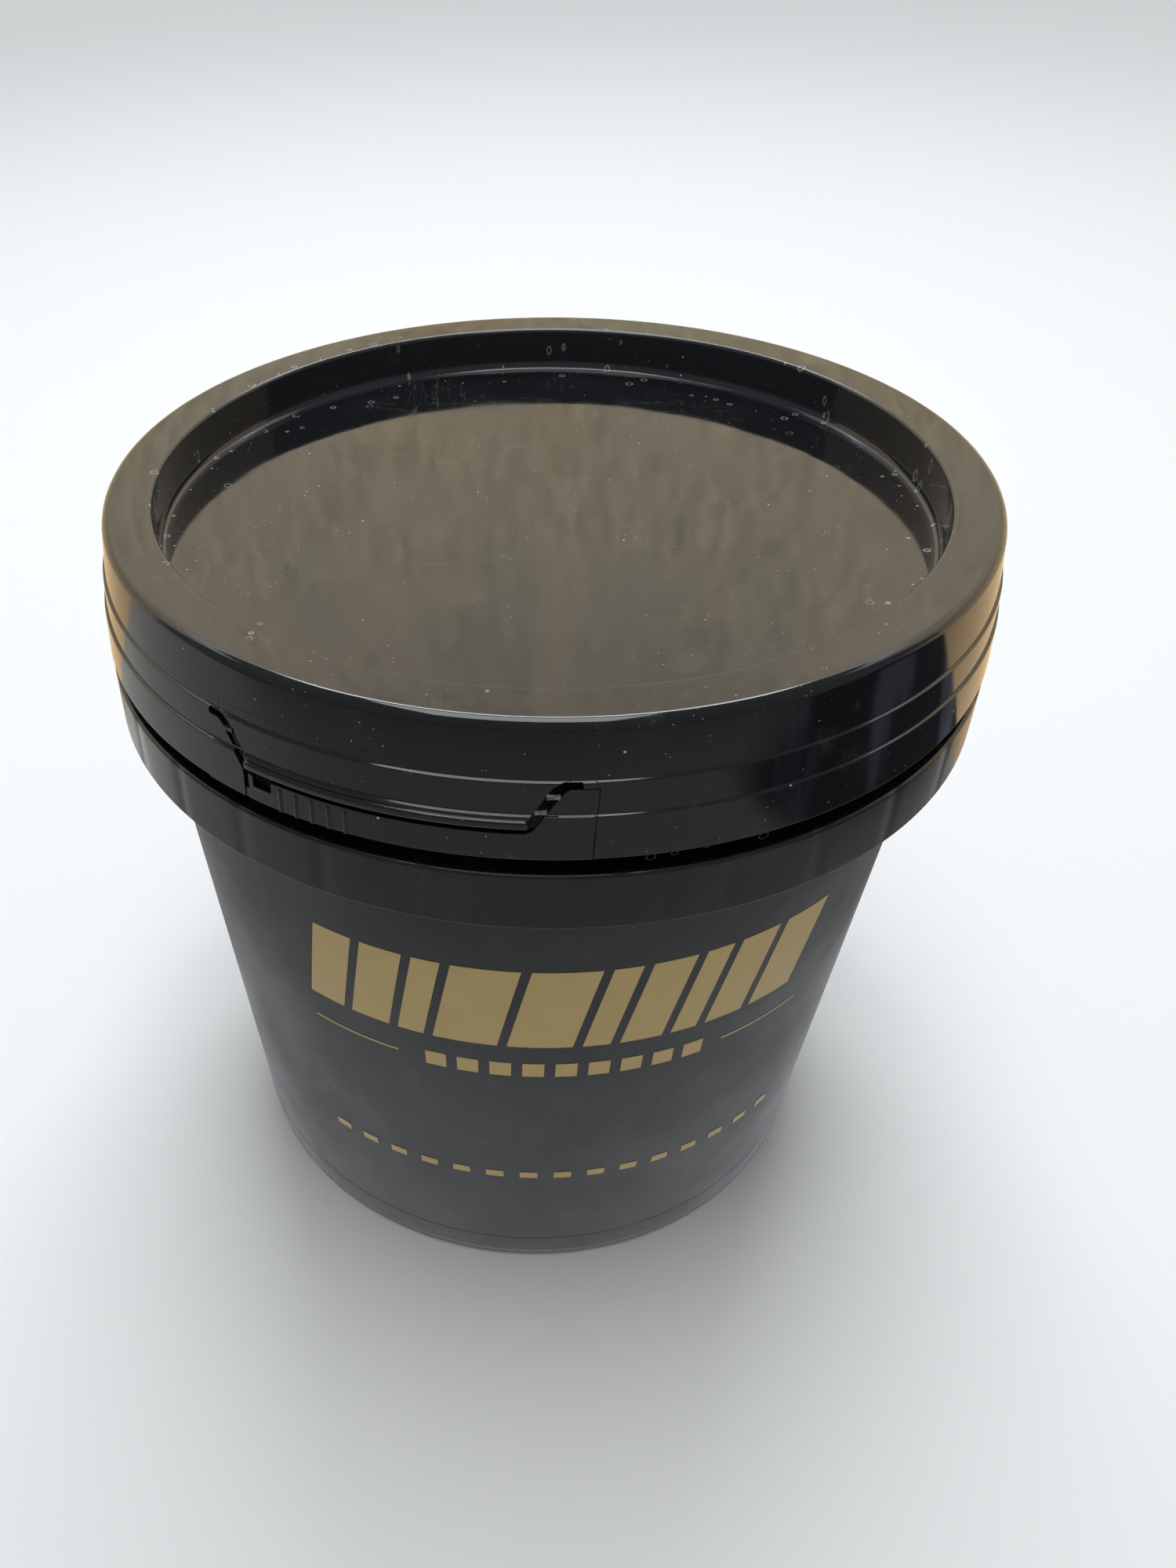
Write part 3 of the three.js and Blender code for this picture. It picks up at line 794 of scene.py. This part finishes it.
def print_patch(bm, bottom_left, bottom_right, top_left, top_right, low, high):
    """A raised ink patch on the wall between two heights; its corners are angles in degrees."""
    columns = max(2, round(abs(bottom_right - bottom_left)))
    rows = 4
    layers = []
    for lift in (-0.05, 0.03):
        grid = []
        for i in range(rows + 1):
            level = i / rows
            z = low + (high - low) * level
            left = bottom_left + (top_left - bottom_left) * level
            right = bottom_right + (top_right - bottom_right) * level
            angles = [math.radians(left + (right - left) * k / columns) for k in range(columns + 1)]
            grid.append([bm.verts.new(on_circle(wall_radius(z) + lift, a, z)) for a in angles])
        layers.append(grid)
    for grid in layers:
        for low_row, high_row in zip(grid, grid[1:]):
            for k in range(columns):
                bm.faces.new((low_row[k], low_row[k + 1], high_row[k + 1], high_row[k]))
    rims = [(grid[0], [row[-1] for row in grid], grid[-1][::-1], [row[0] for row in grid][::-1])
            for grid in layers]
    for a, b in zip(*rims):
        for k in range(len(a) - 1):
            bm.faces.new((a[k], a[k + 1], b[k + 1], b[k]))


def make_print():
    """The front print: a band of slanted bars, two thin rules, a row of squares and a row of dashes."""
    bm = bmesh.new()
    slant = 3.2
    low, high = 130.4, 165.0
    bars = [(-33.9, 6.2), (-26.3, 6.2), (-18.7, 4.0), (-13.3, 9.4), (-2.5, 9.4), (8.3, 4.0),
            (13.7, 6.2), (21.3, 4.0), (26.7, 6.2), (34.3, 8.0)]
    for left, width in bars:
        print_patch(bm, left, left + width, left + slant, left + width + slant, low, high)
    for left, right in ((-33.9, -19.1), (30.7, 46.0)):
        print_patch(bm, left, right, left, right, 118.1, 118.9)
    for k in range(9):
        left = -14.7 + 4.85 * k
        print_patch(bm, left, left + 3.2, left, left + 3.2, 115.5, 122.0)
    for k in range(15):
        left = -34.5 + 5.75 * k
        print_patch(bm, left, left + 3.0, left, left + 3.0, 56.0, 59.4)
    ink = shade(make_solid("front_print", bm))
    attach(ink, "pail")
    return ink


# ---- Moulding flash on the lid's lower edge ----

def make_flash():
    """Thin curls of trimmed plastic that hang from the skirt's lower edge, right of the tear line."""
    curls = []
    for k, (angle, size) in enumerate(((11.8, 2.2), (14.5, 1.6), (24.3, 2.4), (18.2, 1.0))):
        turn = math.radians(angle)
        start = on_circle(SKIRT_R - 0.6, turn, SKIRT_Z + 0.3)
        along = Vector((math.cos(turn), math.sin(turn), 0))
        points = []
        for i in range(25):
            t = i / 24
            swing = math.pi * (0.2 + 1.5 * t)
            drop = Vector((0, 0, -size * (1 - math.cos(swing)) / 2))
            points.append(start + drop + along * size * (math.sin(swing) * 0.9 + 1.2 * t))
        curl = shade(tube(f"flash_curl_{k + 1}", points, 0.16, sides=10), sharp_degrees=60)
        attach(curl, "lid")
        curls.append(curl)
    return curls


# ---- Materials ----

class Nodes:
    """A material's nodes, wired up in millimetres of object space."""

    def __init__(self, name):
        self.material = bpy.data.materials.new(name)
        self.material.use_nodes = True
        self.tree = self.material.node_tree
        self.shader = self.tree.nodes["Principled BSDF"]
        coordinates = self.new("TexCoord")
        scale = self.new("VectorMath")
        scale.operation = "MULTIPLY"
        scale.inputs[1].default_value = (1000, 1000, 1000)
        self.tree.links.new(coordinates.outputs["Object"], scale.inputs[0])
        self.place = scale.outputs[0]
        split = self.new("SeparateXYZ")
        self.tree.links.new(self.place, split.inputs[0])
        self.x, self.y, self.z = split.outputs

    def new(self, kind):
        return self.tree.nodes.new("ShaderNode" + kind)

    def put(self, socket, value):
        """Links a socket to another or sets its value."""
        if isinstance(value, bpy.types.NodeSocket):
            self.tree.links.new(value, socket)
        elif socket.type == "RGBA":
            socket.default_value = (*value, 1.0)
        else:
            socket.default_value = value

    def math(self, operation, a, b=0.0, clamp=False):
        node = self.new("Math")
        node.operation = operation
        node.use_clamp = clamp
        self.put(node.inputs[0], a)
        self.put(node.inputs[1], b)
        return node.outputs[0]

    def times(self, a, b):
        return self.math("MULTIPLY", a, b)

    def plus(self, a, b, clamp=False):
        return self.math("ADD", a, b, clamp)

    def minus(self, a, b):
        return self.math("SUBTRACT", a, b)

    def most(self, a, b):
        return self.math("MAXIMUM", a, b)

    def ramp(self, value, low, high, start=0.0, end=1.0):
        """Smoothly maps low..high to start..end."""
        node = self.new("MapRange")
        node.interpolation_type = "SMOOTHSTEP"
        for socket, item in zip(node.inputs, (value, low, high, start, end)):
            self.put(socket, item)
        return node.outputs[0]

    def mix(self, share, a, b):
        node = self.new("Mix")
        node.data_type = "RGBA"
        self.put(node.inputs["Factor"], share)
        self.put(node.inputs[6], a)
        self.put(node.inputs[7], b)
        return node.outputs[2]

    def stretched(self, x, y, z):
        node = self.new("VectorMath")
        node.operation = "MULTIPLY"
        self.put(node.inputs[0], self.place)
        node.inputs[1].default_value = (x, y, z)
        return node.outputs[0]

    def turn(self):
        """The angle from the front, in radians."""
        return self.math("ARCTAN2", self.x, self.times(self.y, -1.0))

    def around(self):
        """Distance round the object, at the radius AROUND_R."""
        return self.times(self.turn(), AROUND_R)

    def radius(self):
        return self.math("SQRT", self.plus(self.times(self.x, self.x), self.times(self.y, self.y)))

    def combine(self, x, y, z):
        node = self.new("CombineXYZ")
        for socket, value in zip(node.inputs, (x, y, z)):
            self.put(socket, value)
        return node.outputs[0]

    def noise(self, vector, scale, detail=3.0, roughness=0.5):
        node = self.new("TexNoise")
        self.put(node.inputs["Vector"], vector)
        node.inputs["Scale"].default_value = scale
        node.inputs["Detail"].default_value = detail
        node.inputs["Roughness"].default_value = roughness
        return node.outputs[0]

    def cells(self, vector, scale):
        """Distance from the nearest of scattered points, and a random number for each."""
        node = self.new("TexVoronoi")
        self.put(node.inputs["Vector"], vector)
        node.inputs["Scale"].default_value = scale
        split = self.new("SeparateColor")
        self.tree.links.new(node.outputs["Color"], split.inputs[0])
        return node.outputs["Distance"], split.outputs[0], split.outputs[1]

    def specks(self, spacing, size, share):
        """Round specks up to size across, in a share of cells spacing apart."""
        distance, pick, weight = self.cells(self.place, 1 / spacing)
        reach = self.times(weight, size / 2 / spacing)
        spot = self.ramp(distance, self.times(reach, 0.6), reach, 1.0, 0.0)
        return self.times(spot, self.math("LESS_THAN", pick, share))

    def hairlines(self, along, across, spacing, share, mask_scale=0.02):
        """Fine scratches: thin level lines of a stretched noise, in patches."""
        lines = self.noise(self.stretched(*[1 / v for v in (along, across, spacing)]), 1.0, 2.0)
        thin = self.math("ABSOLUTE", self.minus(lines, 0.5))
        mask = self.ramp(self.noise(self.place, mask_scale, 2.0), 0.62 - share, 0.70 - share)
        return self.times(self.ramp(thin, 0.0, 0.006, 1.0, 0.0), mask)

    def bump(self, *layers, edge=0.2):
        """Stacks layers, each a height in 0..1 and a depth in mm, over edges softened by edge mm."""
        soft = self.new("Bevel")
        soft.samples = 4
        soft.inputs["Radius"].default_value = edge * MM
        normal = soft.outputs[0]
        for height, distance in layers:
            node = self.new("Bump")
            node.inputs["Strength"].default_value = 1.0
            node.inputs["Distance"].default_value = distance * MM
            self.put(node.inputs["Height"], height)
            self.tree.links.new(normal, node.inputs["Normal"])
            normal = node.outputs[0]
        self.tree.links.new(normal, self.shader.inputs["Normal"])

    def finish(self, colour, roughness, ior=1.49, metallic=0.0):
        self.put(self.shader.inputs["Base Color"], colour)
        self.put(self.shader.inputs["Roughness"], roughness)
        self.shader.inputs["IOR"].default_value = ior
        self.shader.inputs["Metallic"].default_value = metallic
        return self.material


def brighter(colour, factor):
    return tuple(c * factor for c in colour)


def lid_material():
    """Glossy black moulded plastic with dust, hairline scratches and dried water drops, and painted light
    on the recess wall.
    """
    n = Nodes("lid_plastic")
    black = (0.0060, 0.0064, 0.0076)
    r = n.radius()
    clouds = n.noise(n.place, 0.03, 4.0)
    film = n.ramp(clouds, 0.45, 0.75)
    settled = n.ramp(n.noise(n.place, 0.045, 3.0), 0.42, 0.60)
    fine_dust = n.times(n.specks(1.1, 0.46, 0.16), settled)
    dust = n.most(fine_dust, n.specks(3.4, 0.9, 0.10))
    scratches = n.most(n.hairlines(60, 1.6, 60, 0.06), n.hairlines(2.2, 48, 60, 0.04, 0.017))
    scratches = n.times(scratches, n.ramp(r, RECESS_R - 2, RECESS_R - 5))
    on_wall = n.times(n.ramp(r, RECESS_R - 20, RECESS_R - 6), n.ramp(r, CROWN_R - 8, CROWN_R - 12))
    drops = n.times(water_drops(n), on_wall)
    marks = n.most(dust, n.times(drops, 0.5))
    haze = n.ramp(n.noise(n.place, 0.05, 6.0, 0.7), 0.60, 0.80)
    colour = n.mix(n.times(film, 0.25), black, brighter(black, 2.2))
    colour = n.mix(n.times(haze, 0.10), colour, (0.30, 0.29, 0.27))
    # Painted light: the recess wall and its fillet are tinted a pale blue, standing in for the overhead
    # light reflected there.
    upright = n.times(n.ramp(r, RECESS_R - 4, RECESS_R - 1.5), n.ramp(r, RECESS_R + 1.5, RECESS_R + 0.8))
    colour = n.mix(n.times(upright, 0.10), colour, (0.15, 0.165, 0.20))
    colour = n.mix(n.times(scratches, 0.25), colour, (0.16, 0.16, 0.155))
    colour = n.mix(n.times(marks, 0.85), colour, (0.50, 0.50, 0.48))
    rough = n.ramp(clouds, 0.3, 0.8, 0.05, 0.11)
    rough = n.plus(rough, n.times(scratches, 0.2))
    rough = n.plus(rough, n.times(dust, 0.5), clamp=True)
    n.bump(
        (n.noise(n.place, 0.05, 1.0), 0.10),
        (n.noise(n.place, 1.6, 2.0), 0.003),
        (marks, 0.04),
    )
    return n.finish(colour, rough)


def water_drops(n):
    """Rings left by dried drops that ran down the recess wall."""
    distance, pick, weight = n.cells(n.stretched(1, 1, 0.55), 1 / 4.2)
    size = n.times(weight, 0.30)
    ring = n.math("ABSOLUTE", n.minus(distance, size))
    return n.times(n.ramp(ring, 0.02, 0.07, 1.0, 0.0), n.math("LESS_THAN", pick, 0.32))


def pail_material():
    """Satin black moulded plastic, scuffed and dusty, glossier on the collar, where ribs show as sinks,
    with a painted floor reflection towards the foot.
    """
    n = Nodes("pail_plastic")
    black = (0.0062, 0.0066, 0.0076)
    clouds = n.noise(n.place, 0.022, 5.0, 0.6)
    collar = n.times(n.ramp(n.z, COLLAR_BOTTOM - 0.6, COLLAR_BOTTOM),
                    n.ramp(n.radius(), COLLAR_R - 6, COLLAR_R - 3))
    scuffs = n.hairlines(26, 26, 2.4, 0.02, 0.03)
    rubs = n.ramp(n.noise(n.stretched(0.05, 0.05, 0.03), 1.0, 6.0, 0.72), 0.48, 0.74)
    rubs = n.times(rubs, n.ramp(n.z, 175, 60, 0.35, 1.0))
    settled = n.ramp(n.noise(n.place, 0.035, 3.0), 0.46, 0.64)
    fine_dust = n.times(n.specks(1.2, 0.44, 0.12), settled)
    dust = n.most(fine_dust, n.specks(4.2, 0.9, 0.08))
    # Painted reflection: the wall is lightened to a bluish grey towards the foot, standing in for the pale
    # floor reflected there.
    foot = n.ramp(n.z, 60, 0)
    colour = n.mix(n.ramp(clouds, 0.35, 0.75), black, brighter(black, 1.6))
    colour = n.mix(n.times(rubs, 0.14), colour, (0.13, 0.138, 0.155))
    colour = n.mix(n.times(foot, 0.02), colour, (0.15, 0.16, 0.18))
    colour = n.mix(n.times(scuffs, 0.16), colour, (0.2, 0.2, 0.2))
    colour = n.mix(n.times(dust, 0.6), colour, (0.42, 0.42, 0.40))
    satin = n.ramp(clouds, 0.3, 0.8, 0.40, 0.52)
    gloss = n.ramp(clouds, 0.3, 0.8, 0.24, 0.32)
    rough = n.plus(n.times(satin, n.minus(1.0, collar)), n.times(gloss, collar))
    rough = n.plus(rough, n.times(dust, 0.4), clamp=True)
    phase = n.times(n.minus(n.turn(), FIRST_GUSSET), GUSSETS)
    crest = n.times(n.plus(n.math("COSINE", phase), 1.0), 0.5)
    sink = n.times(n.math("POWER", crest, 10.0), collar)
    n.bump(
        (n.minus(1.0, sink), 0.30),
        (n.noise(n.place, 0.04, 1.0), 0.30),
        (n.noise(n.place, 2.2, 2.0), 0.02),
    )
    return n.finish(colour, rough, ior=1.44)


def tie_material():
    """The same plastic drawn thin, so stress has turned it whitish in patches."""
    n = Nodes("tie_plastic")
    stretch = n.ramp(n.noise(n.place, 0.9, 3.0), 0.35, 0.65)
    colour = n.mix(stretch, (0.045, 0.045, 0.046), (0.20, 0.20, 0.195))
    n.bump((n.noise(n.place, 2.5, 3.0), 0.05))
    return n.finish(colour, n.ramp(stretch, 0.0, 1.0, 0.35, 0.55))


def seal_material():
    n = Nodes("seal_rubber")
    grain = n.noise(n.place, 1.8, 4.0)
    colour = n.mix(grain, (0.016, 0.016, 0.017), (0.034, 0.034, 0.035))
    n.bump((grain, 0.04))
    return n.finish(colour, n.ramp(grain, 0.3, 0.7, 0.55, 0.75))


def steel_material():
    """Zinc-plated wire: fine draw lines, dull patches and a few darker spots."""
    n = Nodes("bail_steel")
    patches = n.noise(n.place, 0.12, 5.0, 0.65)
    lines = n.noise(n.stretched(0.05, 1.6, 1.6), 1.0, 3.0)
    spots = n.specks(7.0, 1.2, 0.25)
    colour = n.mix(n.ramp(patches, 0.3, 0.75), (0.42, 0.43, 0.44), (0.60, 0.61, 0.60))
    colour = n.mix(n.times(spots, 0.5), colour, (0.16, 0.15, 0.14))
    rough = n.plus(n.ramp(patches, 0.3, 0.8, 0.22, 0.42), n.times(spots, 0.3))
    n.bump((lines, 0.02), (patches, 0.03))
    return n.finish(colour, rough, metallic=1.0)


def grip_material():
    """Black moulded plastic with a fine spark texture and a slight mould line on both sides."""
    n = Nodes("grip_plastic")
    grain = n.noise(n.place, 2.4, 2.0)
    line = n.ramp(n.math("ABSOLUTE", n.minus(n.z, grip_axis.z)), 0.0, 0.25, 1.0, 0.0)
    worn = n.ramp(n.noise(n.place, 0.08, 4.0), 0.5, 0.8)
    colour = n.mix(worn, (0.014, 0.0145, 0.016), (0.032, 0.033, 0.035))
    n.bump((grain, 0.06), (line, 0.12))
    return n.finish(colour, n.ramp(worn, 0.0, 1.0, 0.5, 0.36))


def ink_material():
    """Matt gold screen print, slightly uneven, with pinholes where the plastic shows through."""
    n = Nodes("gold_ink")
    cloud = n.noise(n.place, 0.08, 4.0)
    flake = n.noise(n.place, 3.0, 2.0)
    holes = n.specks(4.0, 0.35, 0.3)
    colour = n.mix(cloud, (0.40, 0.275, 0.085), (0.50, 0.355, 0.125))
    colour = n.mix(n.times(flake, 0.25), colour, (0.58, 0.43, 0.18))
    colour = n.mix(holes, colour, (0.02, 0.02, 0.022))
    n.bump((flake, 0.01), (holes, 0.03), edge=0.03)
    return n.finish(colour, n.ramp(cloud, 0.3, 0.7, 0.42, 0.52))


def paint(piece, material):
    piece.data.materials.clear()
    piece.data.materials.append(material)


# ---- Assembly ----

lid_gloss = lid_material()
pail_satin = pail_material()
drawn = tie_material()
for piece in (make_lid(), make_flap(), make_strap(), *make_flash()):
    paint(piece, lid_gloss)
for piece in (make_pail(), make_gussets()):
    paint(piece, pail_satin)
bridges, start_bridge = make_ties()
for piece in bridges:
    paint(piece, drawn if "right" in piece.name else lid_gloss)
paint(start_bridge, lid_gloss)
paint(make_seal(), seal_material())
paint(make_bail(), steel_material())
paint(make_grip(), grip_material())
paint(make_print(), ink_material())


# ---- Floor, light and camera ----

def matt(name, albedo, glow):
    """Nodes of a grey matt material with a glow of its own."""
    n = Nodes(name)
    n.put(n.shader.inputs["Base Color"], (albedo, albedo, albedo))
    n.put(n.shader.inputs["Roughness"], 0.9)
    n.put(n.shader.inputs["Specular IOR Level"], 0.0)
    n.put(n.shader.inputs["Emission Color"], glow)
    n.put(n.shader.inputs["Emission Strength"], 1.0)
    return n


def make_floor():
    """A pale floor that glows far out, where the lamps don't reach."""
    bm = bmesh.new()
    bmesh.ops.create_circle(bm, cap_ends=True, segments=96, radius=FLOOR_R)
    floor = make_object("floor", bm)
    n = matt("pale_floor", 0.86, (0.66, 0.67, 0.68))
    n.put(n.shader.inputs["Emission Strength"], n.ramp(n.radius(), 1500, 5500))
    paint(floor, n.material)


def reflector(name, bm, shade_of):
    """A card that only reflections see, so that it lights the gloss and not the floor.
    shade_of(nodes) gives its colour and strength."""
    card = make_object(name, bm)
    n = Nodes(name)
    n.tree.nodes.remove(n.shader)
    emission = n.new("Emission")
    colour, strength = shade_of(n)
    n.put(emission.inputs["Color"], colour)
    n.put(emission.inputs["Strength"], strength)
    n.tree.links.new(emission.outputs[0], n.tree.nodes["Material Output"].inputs["Surface"])
    paint(card, n.material)
    card.visible_camera = card.visible_diffuse = card.visible_shadow = False


def floor_card_shade(n):
    """Grey ground: mid-grey close by, lighter on the left, tan behind,
    dark far out in front and on the right."""
    r = n.radius()
    grey = n.mix(n.ramp(r, 160, 270), (0.94, 0.96, 1.0), (0.42, 0.42, 0.43))
    grey = n.mix(n.ramp(r, 600, 1000), grey, (0.20, 0.20, 0.205))
    left = n.times(n.ramp(n.x, -190, -240), n.ramp(n.y, -420, -200))
    patch = n.mix(n.ramp(n.y, 0, 150), (0.50, 0.50, 0.49), (1.10, 1.10, 1.08))
    patch = n.mix(n.ramp(r, 250, 300), (0.72, 0.72, 0.71), patch)
    patch = n.mix(n.ramp(r, 352, 400), patch, (0.58, 0.58, 0.57))
    grey = n.mix(left, grey, patch)
    right = n.times(n.ramp(n.x, 350, 395), n.ramp(n.y, -560, -330))
    bands = n.noise(n.combine(n.around(), 0.0, n.times(r, 0.05)), 0.035, 3.0)
    dark = n.mix(n.ramp(bands, 0.52, 0.64), (0.035, 0.035, 0.04), (0.20, 0.21, 0.27))
    grey = n.mix(right, grey, dark)
    behind = n.ramp(n.plus(n.y, n.times(n.x, 0.09)), 187, 196)
    far = n.times(behind, n.ramp(r, 290, 330))
    return n.mix(far, grey, (0.98, 0.70, 0.40)), 1.0


def back_card_shade(n):
    """Warm boarded wall, lighter and more neutral upwards, with soft upright streaks."""
    level = n.times(n.z, 0.015)
    boards = n.noise(n.combine(n.around(), 0.0, level), 0.75, 4.0, 0.75)
    tint = n.noise(n.combine(n.around(), 5.0, level), 0.06, 2.0)
    warm = n.mix(n.ramp(n.z, 950, 1900), (1.04, 0.82, 0.52), (1.75, 1.50, 1.14))
    warm = n.mix(n.ramp(tint, 0.35, 0.65, 0.0, 0.4), warm, (1.18, 1.12, 0.84))
    warm = n.mix(n.ramp(n.z, 2250, 2700), warm, (2.3, 2.4, 2.6))
    return warm, n.ramp(boards, 0.3, 0.7, 0.60, 1.30)


def make_backdrop():
    """A pale wall far behind everything, which only the camera sees."""
    bm = bmesh.new()
    height, sunk = 30000, 100
    bmesh.ops.create_cone(
        bm, cap_ends=False, segments=96, radius1=BACKDROP_R, radius2=BACKDROP_R, depth=height)
    bmesh.ops.translate(bm, vec=(0, 0, height / 2 - sunk), verts=bm.verts)
    wall = make_object("backdrop", bm)
    paint(wall, matt("pale_backdrop", 0.0, (0.84, 0.85, 0.86)).material)
    wall.visible_diffuse = wall.visible_glossy = wall.visible_shadow = False


def make_cards():
    ground = bmesh.new()
    bmesh.ops.create_circle(ground, cap_ends=True, segments=96, radius=BACKDROP_R)
    bmesh.ops.translate(ground, vec=(0, 0, 0.6), verts=ground.verts)
    reflector("ground_reflection", ground, floor_card_shade)
    wall = bmesh.new()
    angles = [math.radians(degrees) for degrees in range(100, 261, 4)]
    low, high = [[wall.verts.new(on_circle(WALL_CARD_R, a, z)) for a in angles] for z in WALL_CARD_Z]
    for k in range(len(angles) - 1):
        wall.faces.new((low[k], low[k + 1], high[k + 1], high[k]))
    reflector("wall_reflection", wall, back_card_shade)


def make_world():
    """Even, dim studio surroundings, slightly cool overhead."""
    world = bpy.data.worlds.new("studio")
    bpy.context.scene.world = world
    world.use_nodes = True
    background = world.node_tree.nodes["Background"]
    background.inputs["Color"].default_value = (0.97, 0.99, 1.0, 1.0)
    background.inputs["Strength"].default_value = 0.28


def area_light(name, place, target, size, power, colour):
    light = bpy.data.lights.new(name, "AREA")
    light.shape = "RECTANGLE"
    light.size, light.size_y = size
    light.energy = power
    light.color = colour
    obj = add_object(name, light)
    obj.location = place
    obj.rotation_euler = (Vector(target) - Vector(place)).to_track_quat("-Z", "Y").to_euler()


def make_camera():
    data = bpy.data.cameras.new("camera")
    data.lens = 29.04
    data.sensor_width = 36
    data.shift_x, data.shift_y = 0.0994, 0.0889
    camera = add_object("camera", data)
    camera.location = (0, -0.36517, 0.41810)
    camera.rotation_euler = (math.radians(46.060), math.radians(1.586), math.radians(4.518))
    bpy.context.scene.camera = camera


make_floor()
make_world()
make_backdrop()
make_cards()
area_light("rear_softbox", (0, 1.5, 2.3), (0, 0, 0.2), (1.8, 0.5), 34, (0.94, 0.98, 1.0))
area_light("overhead_softbox", (-0.1, 0, 2.4), (0, 0, 0.2), (1.6, 1.2), 32, (0.95, 0.98, 1.0))
make_camera()
bpy.context.scene.view_settings.view_transform = "Standard"
